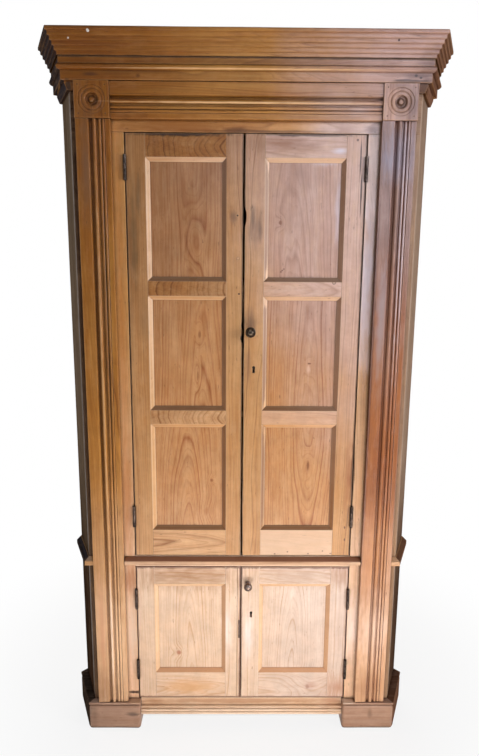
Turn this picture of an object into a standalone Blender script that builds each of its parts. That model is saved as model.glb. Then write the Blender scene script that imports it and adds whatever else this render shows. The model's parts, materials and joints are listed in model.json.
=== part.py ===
"""Stripped-pine corner cabinet: carcass, casings, cornice, four panelled doors and their ironwork.

Metres, +Z up. The front faces -Y, the floor is Z = 0 and X = 0 runs through the room's corner.
Pieces are drawn with the face frame's front at Y = 0; the last step centres the whole on its depth.
"""
import math

import bmesh
import bpy
from mathutils import Vector

# Fits
FIT = 0.0003             # gap kept between two pieces that touch
DOOR_GAP = 0.002         # above and below a door
MEETING_GAP = 0.003      # between the two doors of a pair

# Plan of the carcass
FRONT_HALF = 0.480       # middle of the front to its corner with the canted side
CANT = math.radians(22.5)    # how far a side leans out from square to the front
SIDE_LENGTH = 0.161      # along the canted side, front corner to wall
FRAME_THICK = 0.022      # stiles and rails of the face frame
SIDE_THICK = 0.020
BACK_THICK = 0.014

# Heights, from the floor up
FOOT_HEIGHT = 0.0965
BASE_RAIL_RISE = 0.0015  # base rail above the foot
BASE_RAIL_HEIGHT = 0.0515
LOWER_DOOR_HEIGHT = 0.4635
WAIST_RAIL_HEIGHT = 0.036
UPPER_DOOR_HEIGHT = 1.250
TOP_RAIL_SHOW = 0.0305   # top rail seen between the upper doors and the frieze
BED_HEIGHT = 0.057
CROWN_HEIGHT = 0.062
CARCASS_DROP = 0.020     # carcass top below the lip of the crown

# Boards inside
BOTTOM_THICK = 0.018
DECK_THICK = 0.020
SHELF_THICK = 0.020
TOP_THICK = 0.018
SHELF_SETBACK = 0.045    # front edge of a shelf behind the face, clear of locks and catches

# Casing section, used for both pilasters and the frieze
CASING_THICK = 0.020
BAND_WIDTH = 0.034
COVE_WIDTH = 0.009
COVE_DEPTH = 0.008
BEAD_WIDTH = 0.013
QUIRK_WIDTH = 0.004
REED_WIDTH = 0.00975
REED_COUNT = 2
FILLET_WIDTH = 0.0145
FILLET_DROP = 0.003
PILASTER_SETBACK = 0.016     # strip of stile outside a pilaster
STILE_SHOW = 0.033           # strip of stile between a pilaster and the doors

# Corner blocks
BLOCK_MARGIN = 0.0005    # block past the casing on each edge
BLOCK_THICK = 0.024
ROSETTE_RADIUS = 0.036
ROSETTE_RING = 0.007     # width of each raised ring
ROSETTE_STEP = 0.003     # how deep each ring lies below the last
BOWL_RADIUS = 0.016
BOWL_DEPTH = 0.008
BOSS_RADIUS = 0.008

# Cornice, measured out from the face
LOWER_FASCIA_PROUD = 0.0255
LOWER_FASCIA_HEIGHT = 0.0235
CORNICE_BEAD_PROUD = 0.0365
CORNICE_BEAD_HEIGHT = 0.016
UPPER_FASCIA_PROUD = 0.030
CROWN_FOOT_PROUD = 0.034
CROWN_LIP_PROUD = 0.064
CROWN_BANDS = 6
UNDER_HEIGHT = 0.021     # small moulding under the bed, outside the corner blocks
UNDER_RISE = 0.016       # its sloping part
UNDER_FOOT_PROUD = 0.008
UNDER_TOP_PROUD = 0.015

# Waist moulding
WAIST_PROUD = 0.017
WAIST_HEIGHT = 0.0245
WAIST_NOSE = 0.0135      # upright nose, below the sloping top
WAIST_DROP = 0.001       # moulding below the top of the waist rail

# Base rail mouldings and feet
BASE_FILLET_HEIGHT = 0.0245
BASE_REED_PROUD = (0.010, 0.014, 0.016)
FOOT_FRONT = 0.1505      # foot along the front, measured in from the corner
FOOT_PROUD = 0.024
FOOT_DEPTH = 0.045       # foot behind the face

# Doors
DOOR_THICK = 0.022
MEETING_SHIFT = -0.005   # the meeting line stands a little left of the middle
HINGE_STILE = 0.0545
NEAR_STILE = 0.0535      # middle of the front to the near edge of a panel
UPPER_TOP_RAIL = 0.0625
UPPER_MID_RAIL = 0.042
UPPER_BOTTOM_RAIL = 0.0845
UPPER_PANEL_ROWS = 3
LOWER_TOP_RAIL = 0.0585
LOWER_BOTTOM_RAIL = 0.0905
LOWER_PANEL_ROWS = 1
CHAMFER_WIDTH = 0.012
CHAMFER_DEPTH = 0.008
GROOVE_SETBACK = 0.001   # panel groove behind the foot of the chamfer
GROOVE_DEPTH = 0.009
PANEL_THICK = 0.007
PANEL_PLAY = 0.0006      # room at a panel's edge in its groove

# Butt hinges
HINGE_LENGTH = 0.068
LEAF_THICK = 0.001
LEAF_GAP = 0.0004
LEAF_DEPTH = 0.018
KNUCKLE_RADIUS = 0.0045
KNUCKLE_CLEAR = 0.0005   # knuckle in front of the face
KNUCKLE_SHARE = 3        # knuckles on the length of a hinge
PIN_RADIUS = 0.0018
PIN_CLEAR = 0.0005
UPPER_HINGE_LOW = 0.130      # hinge middle above the bottom of an upper door
UPPER_HINGE_HIGH = 0.0915    # hinge middle below its top
LOWER_HINGE_LOW = 0.106
LOWER_HINGE_HIGH = 0.1085

# Turn catches worked by the knobs
KNOB_INSET = 0.0205      # knob middle in from the meeting edge
UPPER_KNOB_DROP = 0.5465     # knob middle below the top of the door
LOWER_KNOB_DROP = 0.0575
UPPER_KNOB_RADIUS = 0.015
LOWER_KNOB_RADIUS = 0.013
KNOB_LENGTH = 0.030
ROSE_RADIUS = 0.009
ROSE_THICK = 0.003
NECK_RADIUS = 0.006
NECK_LENGTH = 0.008
SPINDLE_RADIUS = 0.004
SPINDLE_CLEAR = 0.0006
SPINDLE_TAIL = 0.003     # spindle past the tongue
TONGUE_LENGTH = 0.045
TONGUE_WIDTH = 0.009
TONGUE_THICK = 0.003
TONGUE_CLEAR = 0.0025    # tongue behind the back of the doors

# Locks
KEYHOLE_INSET = 0.0315   # keyhole in from the meeting edge
UPPER_KEYHOLE_DROP = 0.1065  # keyhole below the knob
LOWER_KEYHOLE_DROP = 0.101
KEYHOLE_RADIUS = 0.0038
KEYHOLE_SLOT = 0.0056
KEYHOLE_LENGTH = 0.016   # middle of the eye to the foot of the slot
LOCK_WIDTH = 0.044
LOCK_HEIGHT = 0.052
LOCK_THICK = 0.012
LOCK_WALL = 0.003
LOCK_INSET = 0.002       # lock case in from the meeting edge
BOLT_LENGTH = 0.030
BOLT_HEIGHT = 0.014
BOLT_TRAVEL = 0.012

# Roundness
BEAD_STEPS = 8
REED_STEPS = 4
HINGE_SIDES = 12
KNOB_SIDES = 24
ROSETTE_SIDES = 32
SHARP_ANGLE = math.radians(35)   # edges at a steeper angle stay crisp
CUT_PAST = 0.002         # how far a cutter runs past the faces it opens

# Heights and widths that follow from the sizes above
CASING_WIDTH = (BAND_WIDTH + COVE_WIDTH + BEAD_WIDTH + QUIRK_WIDTH
                + REED_COUNT * REED_WIDTH + FILLET_WIDTH)
BLOCK_SIZE = CASING_WIDTH + 2 * BLOCK_MARGIN
PILASTER_OUTER = FRONT_HALF - PILASTER_SETBACK
PILASTER_INNER = PILASTER_OUTER - CASING_WIDTH
OPENING_HALF = PILASTER_INNER - STILE_SHOW
HINGE_GAP = LEAF_GAP + 2 * LEAF_THICK + 2 * FIT
DOOR_EDGE = OPENING_HALF - HINGE_GAP
FOOT_INNER = FRONT_HALF - FOOT_FRONT
BASE_RAIL_TOP = FOOT_HEIGHT + BASE_RAIL_RISE
LOWER_DOOR_Z = BASE_RAIL_TOP + DOOR_GAP
WAIST_RAIL_Z = LOWER_DOOR_Z + LOWER_DOOR_HEIGHT + DOOR_GAP
WAIST_RAIL_TOP = WAIST_RAIL_Z + WAIST_RAIL_HEIGHT
UPPER_DOOR_Z = WAIST_RAIL_TOP + DOOR_GAP
TOP_RAIL_Z = UPPER_DOOR_Z + UPPER_DOOR_HEIGHT + DOOR_GAP
BLOCK_Z = TOP_RAIL_Z + TOP_RAIL_SHOW
BED_Z = BLOCK_Z + BLOCK_SIZE + FIT
CROWN_Z = BED_Z + BED_HEIGHT + FIT
CARCASS_TOP = CROWN_Z + CROWN_HEIGHT - CARCASS_DROP
WALL_SUM = FRONT_HALF + SIDE_LENGTH * (math.sin(CANT) + math.cos(CANT))
HINGE_X = OPENING_HALF - HINGE_GAP / 2
HINGE_Y = -(KNUCKLE_RADIUS + KNUCKLE_CLEAR)
BOARD_FRONT = max(FRAME_THICK, DOOR_THICK) + FIT
DEPTH_MIDDLE = (WALL_SUM - FIT / 2 - CROWN_LIP_PROUD) / 2
UPPER_PANEL_HEIGHT = (UPPER_DOOR_HEIGHT - UPPER_TOP_RAIL - UPPER_BOTTOM_RAIL
                      - (UPPER_PANEL_ROWS - 1) * UPPER_MID_RAIL) / UPPER_PANEL_ROWS
LOWER_PANEL_HEIGHT = LOWER_DOOR_HEIGHT - LOWER_TOP_RAIL - LOWER_BOTTOM_RAIL

# Finishes read from the photograph: linear colour, roughness, metallic
FINISHES = {
    "pine": ((0.36, 0.19, 0.09), 0.45, 0.0),
    "pale_pine": ((0.52, 0.34, 0.24), 0.42, 0.0),
    "shaded_pine": ((0.13, 0.10, 0.075), 0.55, 0.0),
    "rough_pine": ((0.33, 0.21, 0.11), 0.75, 0.0),
    "iron": ((0.06, 0.055, 0.05), 0.50, 1.0),
    "brass": ((0.22, 0.15, 0.06), 0.38, 1.0),
}


# Shape helpers

def finish(name, kind):
    """A material of its own for one piece."""
    colour, roughness, metallic = FINISHES[kind]
    material = bpy.data.materials.new(name + "_" + kind)
    material.use_nodes = True
    shader = material.node_tree.nodes["Principled BSDF"]
    shader.inputs["Base Color"].default_value = (*colour, 1.0)
    shader.inputs["Roughness"].default_value = roughness
    shader.inputs["Metallic"].default_value = metallic
    return material


def add_piece(name, bm, kind, parent):
    """Turn a drawn bmesh into an object, on its parent's axis or set down in the carcass."""
    bmesh.ops.recalc_face_normals(bm, faces=bm.faces)
    base = axis_point(parent)
    origin = base
    if parent.parent is None:
        xs, ys, zs = zip(*(vert.co for vert in bm.verts))
        origin = Vector(((min(xs) + max(xs)) / 2, (min(ys) + max(ys)) / 2, min(zs)))
    bmesh.ops.translate(bm, verts=bm.verts, vec=-origin)
    mesh = bpy.data.meshes.new(name)
    bm.to_mesh(mesh)
    bm.free()
    mesh.shade_smooth()
    mesh.set_sharp_from_angle(angle=SHARP_ANGLE)
    mesh.materials.append(finish(name, kind))
    piece = bpy.data.objects.new(name, mesh)
    bpy.context.collection.objects.link(piece)
    piece.parent = parent
    piece.location = origin - base


def add_axis(name, point, parent=None):
    """An empty on a joint's axis, for the pieces that turn or slide there."""
    axis = bpy.data.objects.new(name, None)
    bpy.context.collection.objects.link(axis)
    axis.parent = parent
    start = axis_point(parent) if parent else Vector()
    axis.location = Vector(point) - start
    return axis


def axis_point(axis):
    """World place of an empty, adding up the unturned empties above it."""
    place = axis.location.copy()
    while axis.parent:
        axis = axis.parent
        place += axis.location
    return place


def prism(outline, low, high, along):
    """A closed outline drawn out along X, Y or Z."""
    spots = {"X": lambda a, b, c: (c, a, b), "Y": lambda a, b, c: (a, c, b), "Z": lambda a, b, c: (a, b, c)}
    spot = spots[along]
    bm = bmesh.new()
    face = bm.faces.new([bm.verts.new(spot(a, b, low)) for a, b in outline])
    drawn = bmesh.ops.extrude_face_region(bm, geom=[face])
    moved = [item for item in drawn["geom"] if isinstance(item, bmesh.types.BMVert)]
    bmesh.ops.translate(bm, verts=moved, vec=Vector(spot(0, 0, high - low)))
    bmesh.ops.recalc_face_normals(bm, faces=bm.faces)
    return bm


def box(x0, x1, y0, y1, z0, z1):
    """A block between two corners."""
    return prism([(x0, y0), (x1, y0), (x1, y1), (x0, y1)], z0, z1, "Z")


def loft(rings):
    """A closed body through rings of equally many points."""
    bm = bmesh.new()
    rows = [[bm.verts.new(point) for point in ring] for ring in rings]
    count = len(rows[0])
    for row, above in zip(rows, rows[1:]):
        for i in range(count):
            j = (i + 1) % count
            bm.faces.new((row[i], row[j], above[j], above[i]))
    bm.faces.new(rows[0])
    bm.faces.new(rows[-1])
    bmesh.ops.recalc_face_normals(bm, faces=bm.faces)
    return bm


def turned(profile, sides, place):
    """A body turned from radius and height pairs; place puts a radius, angle and height in the world."""
    bm = bmesh.new()
    rows = []
    for radius, height in profile:
        if radius == 0:
            rows.append([bm.verts.new(place(0, 0, height))])
        else:
            angles = [2 * math.pi * i / sides for i in range(sides)]
            rows.append([bm.verts.new(place(radius, angle, height)) for angle in angles])
    closed = profile[0][0] != 0
    pairs = list(zip(rows, rows[1:] + rows[:1])) if closed else list(zip(rows, rows[1:]))
    for row, above in pairs:
        for i in range(sides):
            j = (i + 1) % sides
            ring = [row[i % len(row)], row[j % len(row)], above[j % len(above)], above[i % len(above)]]
            bm.faces.new(list(dict.fromkeys(ring)))
    bmesh.ops.recalc_face_normals(bm, faces=bm.faces)
    return bm


def about_z(x, y):
    """Placing for a body turned about an upright axis."""
    return lambda radius, turn, height: (x + radius * math.cos(turn), y + radius * math.sin(turn), height)


def about_y(x, z):
    """Placing for a body turned about an axis that runs front to back; height is world Y."""
    return lambda radius, turn, height: (x + radius * math.cos(turn), height, z + radius * math.sin(turn))


def join(first, *others):
    """Put several closed bodies that don't touch into one bmesh."""
    for other in others:
        mesh = bpy.data.meshes.new("joined")
        other.to_mesh(mesh)
        other.free()
        first.from_mesh(mesh)
        bpy.data.meshes.remove(mesh)
    return first


def combine(base, tool, operation):
    """Boolean of two bmeshes, freed into a new one."""
    objects = []
    for bm in (base, tool):
        mesh = bpy.data.meshes.new("boolean")
        bm.to_mesh(mesh)
        bm.free()
        objects.append(bpy.data.objects.new("boolean", mesh))
        bpy.context.collection.objects.link(objects[-1])
    modifier = objects[0].modifiers.new("boolean", "BOOLEAN")
    modifier.operation = operation
    modifier.object = objects[1]
    modifier.solver = "EXACT"
    graph = bpy.context.evaluated_depsgraph_get()
    result = bmesh.new()
    result.from_mesh(objects[0].evaluated_get(graph).to_mesh())
    for item in objects:
        mesh = item.data
        bpy.data.objects.remove(item)
        bpy.data.meshes.remove(mesh)
    return result


def arc(centre_a, centre_b, radius_a, radius_b, start, end, steps):
    """Points of an elliptical arc, angles in degrees."""
    turns = [math.radians(start + (end - start) * i / steps) for i in range(steps + 1)]
    return [(centre_a + radius_a * math.cos(t), centre_b + radius_b * math.sin(t)) for t in turns]


# Plan helpers: proud is the distance out from the face of the front or of a side

def on_corner(proud, side):
    """Where a front and a canted side, both moved out by proud, meet."""
    return side * (FRONT_HALF + proud * math.tan((math.pi / 2 - CANT) / 2)), -proud


def on_wall(proud, side, inward=0.0):
    """Where a canted side moved out by proud meets the wall, or a line inward of the wall."""
    reach = WALL_SUM - inward * math.sqrt(2)
    x = (proud + FRONT_HALF * math.cos(CANT) + reach * math.sin(CANT)) / (math.cos(CANT) + math.sin(CANT))
    return side * x, reach - x


def on_side(y, proud, side):
    """A point of a canted side moved out by proud, at a given depth."""
    return side * (FRONT_HALF + y * math.tan(CANT) + proud / math.cos(CANT)), y


def strip_along(section, stations):
    """A moulding whose section of (proud, z) pairs runs through stations, each a plan place for proud."""
    return loft([[(*station(proud), z) for proud, z in section] for station in stations])


def around_front(section):
    """A moulding from wall to wall, mitred at both front corners."""
    return strip_along(section, [lambda p: on_wall(p, -1), lambda p: on_corner(p, -1),
                                 lambda p: on_corner(p, 1), lambda p: on_wall(p, 1)])


def around_corner(section, start, side, inward=0.0):
    """A moulding from a start on the front, mitred round one corner and back to the wall."""
    return strip_along(section, [lambda p: (side * start, -p), lambda p: on_corner(p, side),
                                 lambda p: on_wall(p, side, inward)])


# Sections

def casing_section():
    """Casing from its flat band across the bead to the reeded edge: (across, out) pairs."""
    low = CASING_THICK - BEAD_WIDTH / 2
    points = [(0, FIT), (0, CASING_THICK), (BAND_WIDTH, CASING_THICK)]
    points.append((BAND_WIDTH + COVE_WIDTH / 2, CASING_THICK - COVE_DEPTH))
    across = BAND_WIDTH + COVE_WIDTH + BEAD_WIDTH / 2
    points += arc(across, low, BEAD_WIDTH / 2, BEAD_WIDTH / 2, 180, 0, BEAD_STEPS)
    across += BEAD_WIDTH / 2 + QUIRK_WIDTH
    points.append((across, low))
    for i in range(REED_COUNT):
        middle = across + (i + 0.5) * REED_WIDTH
        points += arc(middle, low, REED_WIDTH / 2, REED_WIDTH / 2, 180, 0, REED_STEPS)[1:]
    across += REED_COUNT * REED_WIDTH
    fillet = CASING_THICK - FILLET_DROP
    points += [(across, fillet), (CASING_WIDTH, fillet), (CASING_WIDTH, FIT)]
    return points


def bed_section():
    """Lower fascia, bead and upper fascia of the cornice."""
    bead_low = BED_Z + LOWER_FASCIA_HEIGHT
    bead_mid = bead_low + CORNICE_BEAD_HEIGHT / 2
    reach = CORNICE_BEAD_PROUD - LOWER_FASCIA_PROUD
    points = [(FIT, BED_Z), (LOWER_FASCIA_PROUD, BED_Z)]
    points += arc(LOWER_FASCIA_PROUD, bead_mid, reach, CORNICE_BEAD_HEIGHT / 2, -90, 90, BEAD_STEPS)
    points.append((UPPER_FASCIA_PROUD, bead_low + CORNICE_BEAD_HEIGHT))
    points += [(UPPER_FASCIA_PROUD, BED_Z + BED_HEIGHT), (FIT, BED_Z + BED_HEIGHT)]
    return points


def under_section():
    """Small moulding below the bed, let into it at the top and set in from its back."""
    low = BED_Z - UNDER_HEIGHT
    top = BED_Z + CUT_PAST
    back = 2 * FIT
    return [(back, low), (UNDER_FOOT_PROUD, low), (UNDER_TOP_PROUD, low + UNDER_RISE),
            (UNDER_TOP_PROUD, top), (back, top)]


def crown_section():
    """Stepped bands that spread up to the lip."""
    points = [(FIT, CROWN_Z)]
    rise = CROWN_HEIGHT / CROWN_BANDS
    spread = (CROWN_LIP_PROUD - CROWN_FOOT_PROUD) / (CROWN_BANDS - 1)
    for i in range(CROWN_BANDS):
        proud = CROWN_FOOT_PROUD + i * spread
        points += [(proud, CROWN_Z + i * rise), (proud, CROWN_Z + (i + 1) * rise)]
    points.append((FIT, CROWN_Z + CROWN_HEIGHT))
    return points


def waist_section():
    """Upright nose under a sloping top."""
    low = WAIST_RAIL_TOP - WAIST_DROP - WAIST_HEIGHT
    return [(FIT, low), (WAIST_PROUD, low), (WAIST_PROUD, low + WAIST_NOSE), (FIT, low + WAIST_HEIGHT)]


def base_rail_section():
    """Base rail with a plain fillet and three reeds below it: (y, z) pairs."""
    low = BASE_RAIL_TOP - BASE_RAIL_HEIGHT
    reed_top = BASE_RAIL_TOP - BASE_FILLET_HEIGHT
    reed = (reed_top - low) / len(BASE_REED_PROUD)
    points = [(FRAME_THICK, low), (FRAME_THICK, BASE_RAIL_TOP), (0, BASE_RAIL_TOP), (0, reed_top)]
    for i, proud in enumerate(BASE_REED_PROUD):
        middle = reed_top - (i + 0.5) * reed
        inner = proud - reed / 2
        points += arc(-inner, middle, -reed / 2, reed / 2, 90, -90, REED_STEPS)
    return points


# Carcass

def board_outline(front):
    """Plan of a board that fills the carcass from a front line back to the corner."""
    clear = -(SIDE_THICK + FIT)
    inward = BACK_THICK + FIT
    left = [on_wall(clear, -1, inward), on_side(front, clear, -1)]
    right = [on_side(front, clear, 1), on_wall(clear, 1, inward)]
    return left + right + [(0, WALL_SUM - inward * math.sqrt(2))]


def shelf_heights():
    """Middles of the door rails between upper panels, where the shelves stand."""
    pitch = UPPER_PANEL_HEIGHT + UPPER_MID_RAIL
    first = UPPER_DOOR_Z + UPPER_BOTTOM_RAIL + UPPER_PANEL_HEIGHT + UPPER_MID_RAIL / 2
    return [first + i * pitch for i in range(UPPER_PANEL_ROWS - 1)]


def build_boards(cabinet):
    """Bottom, deck, shelves and top."""
    bottom = FOOT_HEIGHT + FIT
    floor = prism(board_outline(BOARD_FRONT), bottom, bottom + BOTTOM_THICK, "Z")
    add_piece("bottom_board", floor, "rough_pine", cabinet)
    deck = prism(board_outline(BOARD_FRONT), WAIST_RAIL_TOP - DECK_THICK, WAIST_RAIL_TOP, "Z")
    add_piece("deck_board", deck, "rough_pine", cabinet)
    for number, middle in enumerate(shelf_heights(), 1):
        shelf = prism(board_outline(SHELF_SETBACK), middle - SHELF_THICK / 2, middle + SHELF_THICK / 2, "Z")
        add_piece("shelf_" + str(number), shelf, "rough_pine", cabinet)
    top = prism(board_outline(BOARD_FRONT), CARCASS_TOP - TOP_THICK, CARCASS_TOP, "Z")
    add_piece("top_board", top, "rough_pine", cabinet)


def build_walls(hand, side, cabinet):
    """Canted side and back panel of one hand."""
    low = FOOT_HEIGHT + FIT
    start = FRAME_THICK + FIT
    plan = [on_side(start, 0, side), on_wall(0, side),
            on_wall(-SIDE_THICK, side), on_side(start, -SIDE_THICK, side)]
    add_piece("side_panel_" + hand, prism(plan, low, CARCASS_TOP, "Z"), "shaded_pine", cabinet)
    seat = -(SIDE_THICK + FIT)
    middle = side * FIT / 2
    back = [on_wall(seat, side), (middle, WALL_SUM - FIT / 2),
            (middle, WALL_SUM - FIT / 2 - BACK_THICK * math.sqrt(2)), on_wall(seat, side, BACK_THICK)]
    add_piece("back_panel_" + hand, prism(back, 0, CARCASS_TOP, "Z"), "rough_pine", cabinet)


def build_face_frame(cabinet):
    """Two stiles under a top rail that runs right across, and two rails between them."""
    for hand, side in (("left", -1), ("right", 1)):
        plan = [(side * OPENING_HALF, 0), (side * FRONT_HALF, 0), on_side(FRAME_THICK, 0, side),
                (side * OPENING_HALF, FRAME_THICK)]
        stile = prism(plan, FOOT_HEIGHT + FIT, TOP_RAIL_Z - FIT, "Z")
        add_piece("face_stile_" + hand, stile, "pine", cabinet)
    plan = [(-FRONT_HALF, 0), (FRONT_HALF, 0), on_side(FRAME_THICK, 0, 1), on_side(FRAME_THICK, 0, -1)]
    add_piece("face_top_rail", prism(plan, TOP_RAIL_Z, CARCASS_TOP, "Z"), "pine", cabinet)
    half = OPENING_HALF - FIT
    waist = box(-half, half, 0, FRAME_THICK, WAIST_RAIL_Z, WAIST_RAIL_TOP)
    add_piece("face_waist_rail", waist, "pale_pine", cabinet)
    between_feet = FOOT_INNER - FIT
    base = prism(base_rail_section(), -between_feet, between_feet, "X")
    add_piece("face_base_rail", base, "pale_pine", cabinet)


def build_foot(hand, side, cabinet):
    """Block foot under the front corner, running back under the canted side."""
    plan = [(side * FOOT_INNER, -FOOT_PROUD), on_corner(FOOT_PROUD, side), on_wall(FOOT_PROUD, side),
            on_wall(-SIDE_THICK, side), on_side(FOOT_DEPTH, -SIDE_THICK, side),
            (side * FOOT_INNER, FOOT_DEPTH)]
    add_piece("foot_" + hand, prism(plan, 0, FOOT_HEIGHT, "Z"), "pale_pine", cabinet)


# Casings and mouldings

def pilaster_left_edge(side):
    """Left edge in X of the casing on one hand; both casings face the same way."""
    return PILASTER_INNER if side > 0 else -PILASTER_OUTER


def build_pilaster(hand, side, cabinet):
    """Upright casing standing on the foot."""
    edge = pilaster_left_edge(side)
    plan = [(edge + across, -out) for across, out in casing_section()]
    add_piece("pilaster_" + hand, prism(plan, FOOT_HEIGHT + FIT, BLOCK_Z - FIT, "Z"), "pine", cabinet)


def build_block(hand, side, cabinet):
    """Corner block with a turned rosette sunk in its face."""
    middle = pilaster_left_edge(side) + CASING_WIDTH / 2
    half = BLOCK_SIZE / 2
    block = box(middle - half, middle + half, -BLOCK_THICK, -FIT, BLOCK_Z, BLOCK_Z + BLOCK_SIZE)
    inner = ROSETTE_RADIUS - ROSETTE_RING
    floor = 2 * ROSETTE_STEP + BOWL_DEPTH
    sunk = [(0, -CUT_PAST), (ROSETTE_RADIUS, -CUT_PAST), (ROSETTE_RADIUS, ROSETTE_STEP),
            (inner, ROSETTE_STEP), (inner, 2 * ROSETTE_STEP), (BOWL_RADIUS, 2 * ROSETTE_STEP),
            (BOSS_RADIUS, floor), (BOSS_RADIUS / 2, floor - BOWL_DEPTH / 2), (0, floor - BOWL_DEPTH / 2)]
    profile = [(radius, depth - BLOCK_THICK) for radius, depth in sunk]
    cutter = turned(profile, ROSETTE_SIDES, about_y(middle, BLOCK_Z + half))
    add_piece("corner_block_" + hand, combine(block, cutter, "DIFFERENCE"), "pine", cabinet)


def build_cornice(cabinet):
    """Frieze casing, bed of the cornice and crown."""
    half = PILASTER_INNER - BLOCK_MARGIN - FIT
    top = BLOCK_Z + BLOCK_MARGIN + CASING_WIDTH
    lying = [(-out, top - across) for across, out in casing_section()]
    add_piece("frieze_casing", prism(lying, -half, half, "X"), "pine", cabinet)
    bed = around_front(bed_section())
    beside_block = PILASTER_OUTER + BLOCK_MARGIN + FIT
    for side in (-1, 1):
        bed = combine(bed, around_corner(under_section(), beside_block, side, FIT), "UNION")
    add_piece("cornice_bed", bed, "pine", cabinet)
    add_piece("cornice_crown", around_front(crown_section()), "pine", cabinet)


def build_waist_mouldings(cabinet):
    """One length between the pilasters and one round each corner."""
    half = PILASTER_INNER - FIT
    lying = [(-proud, z) for proud, z in waist_section()]
    add_piece("waist_moulding_front", prism(lying, -half, half, "X"), "pale_pine", cabinet)
    for hand, side in (("left", -1), ("right", 1)):
        bent = around_corner(waist_section(), PILASTER_OUTER + FIT, side)
        add_piece("waist_moulding_" + hand, bent, "pine", cabinet)


# Doors

def meeting_edge(side):
    """X of a door's meeting edge."""
    return MEETING_SHIFT + side * MEETING_GAP / 2


def panel_rows(z, bottom_rail, mid_rail, height, rows):
    """Lower and upper edges of each panel opening, from the bottom."""
    starts = [z + bottom_rail + i * (height + mid_rail) for i in range(rows)]
    return [(start, start + height) for start in starts]


def rectangle_ring(x0, x1, z0, z1, y, inset):
    """Corners of an upright rectangle drawn in by inset."""
    return [(x0 + inset, y, z0 + inset), (x1 - inset, y, z0 + inset),
            (x1 - inset, y, z1 - inset), (x0 + inset, y, z1 - inset)]


def panel_well(x0, x1, z0, z1):
    """What is cut from a door frame for one panel: chamfer, sight opening and groove."""
    slope = CHAMFER_WIDTH / CHAMFER_DEPTH
    groove = CHAMFER_DEPTH + GROOVE_SETBACK
    groove_back = groove + PANEL_THICK + 2 * FIT
    groove_inset = CHAMFER_WIDTH - GROOVE_DEPTH
    steps = [(-CUT_PAST, -CUT_PAST * slope), (CHAMFER_DEPTH, CHAMFER_WIDTH), (groove, CHAMFER_WIDTH),
             (groove, groove_inset), (groove_back, groove_inset), (groove_back, CHAMFER_WIDTH),
             (DOOR_THICK + CUT_PAST, CHAMFER_WIDTH)]
    return loft([rectangle_ring(x0, x1, z0, z1, y, inset) for y, inset in steps])


def keyhole(x, z):
    """Round eye and slot, cut right through."""
    half = KEYHOLE_SLOT / 2
    join_angle = math.degrees(math.asin(half / KEYHOLE_RADIUS))
    outline = arc(x, z, KEYHOLE_RADIUS, KEYHOLE_RADIUS, join_angle - 90, 270 - join_angle, BEAD_STEPS)
    outline += [(x - half, z - KEYHOLE_LENGTH), (x + half, z - KEYHOLE_LENGTH)]
    return prism(outline, -CUT_PAST, DOOR_THICK + CUT_PAST, "Y")


def build_leaves(name, side, middle, door):
    """The two leaves of a butt hinge: the frame's carries the pin, the door's turns on it."""
    axis = (side * HINGE_X, HINGE_Y)
    low = middle - HINGE_LENGTH / 2
    high = middle + HINGE_LENGTH / 2
    knuckle = HINGE_LENGTH / KNUCKLE_SHARE
    below = low + knuckle
    above = high - knuckle
    bore = PIN_RADIUS + PIN_CLEAR
    weld = HINGE_Y + (KNUCKLE_RADIUS + bore) / 2
    near = side * HINGE_X + side * LEAF_GAP / 2
    frame_plate = prism([(weld, low), (weld, below - FIT), (0, below - FIT), (0, above + FIT),
                         (weld, above + FIT), (weld, high), (LEAF_DEPTH, high), (LEAF_DEPTH, low)],
                        near, near + side * LEAF_THICK, "X")
    barrel = [(0, low), (KNUCKLE_RADIUS, low), (KNUCKLE_RADIUS, below - FIT), (PIN_RADIUS, below - FIT),
              (PIN_RADIUS, above + FIT), (KNUCKLE_RADIUS, above + FIT), (KNUCKLE_RADIUS, high), (0, high)]
    pin = turned(barrel, HINGE_SIDES, about_z(*axis))
    add_piece(name + "_frame_leaf", combine(frame_plate, pin, "UNION"), "iron", door.parent)
    far = side * HINGE_X - side * LEAF_GAP / 2
    door_plate = prism([(0, low), (0, below), (weld, below), (weld, above), (0, above), (0, high),
                        (LEAF_DEPTH, high), (LEAF_DEPTH, low)], far - side * LEAF_THICK, far, "X")
    tube = turned([(bore, below), (KNUCKLE_RADIUS, below), (KNUCKLE_RADIUS, above), (bore, above)],
                  HINGE_SIDES, about_z(*axis))
    add_piece(name + "_door_leaf", combine(door_plate, tube, "UNION"), "iron", door)


def build_catch(name, x, z, radius, door):
    """Knob, spindle and tongue of a turn catch in one piece, hanging down when it is free."""
    tongue_y = DOOR_THICK + TONGUE_CLEAR
    front = -FIT - ROSE_THICK
    neck = front - NECK_LENGTH
    tip = front - KNOB_LENGTH
    ball = (neck - tip) / 2
    tail = tongue_y + TONGUE_THICK + SPINDLE_TAIL
    profile = [(0, tail), (SPINDLE_RADIUS, tail), (SPINDLE_RADIUS, -FIT), (ROSE_RADIUS, -FIT),
               (ROSE_RADIUS, front), (NECK_RADIUS, front)]
    profile += [(r, y) for y, r in arc(neck - ball, 0, ball, radius, 25, 155, BEAD_STEPS)]
    profile.append((0, tip))
    body = turned(profile, KNOB_SIDES, about_y(x, z))
    half = TONGUE_WIDTH / 2
    tongue = box(x - half, x + half, tongue_y, tongue_y + TONGUE_THICK, z - TONGUE_LENGTH, z + half)
    turn = add_axis(name + "_axis", (x, 0, z), door)
    add_piece(name, combine(body, tongue, "UNION"), "brass", turn)


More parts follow.
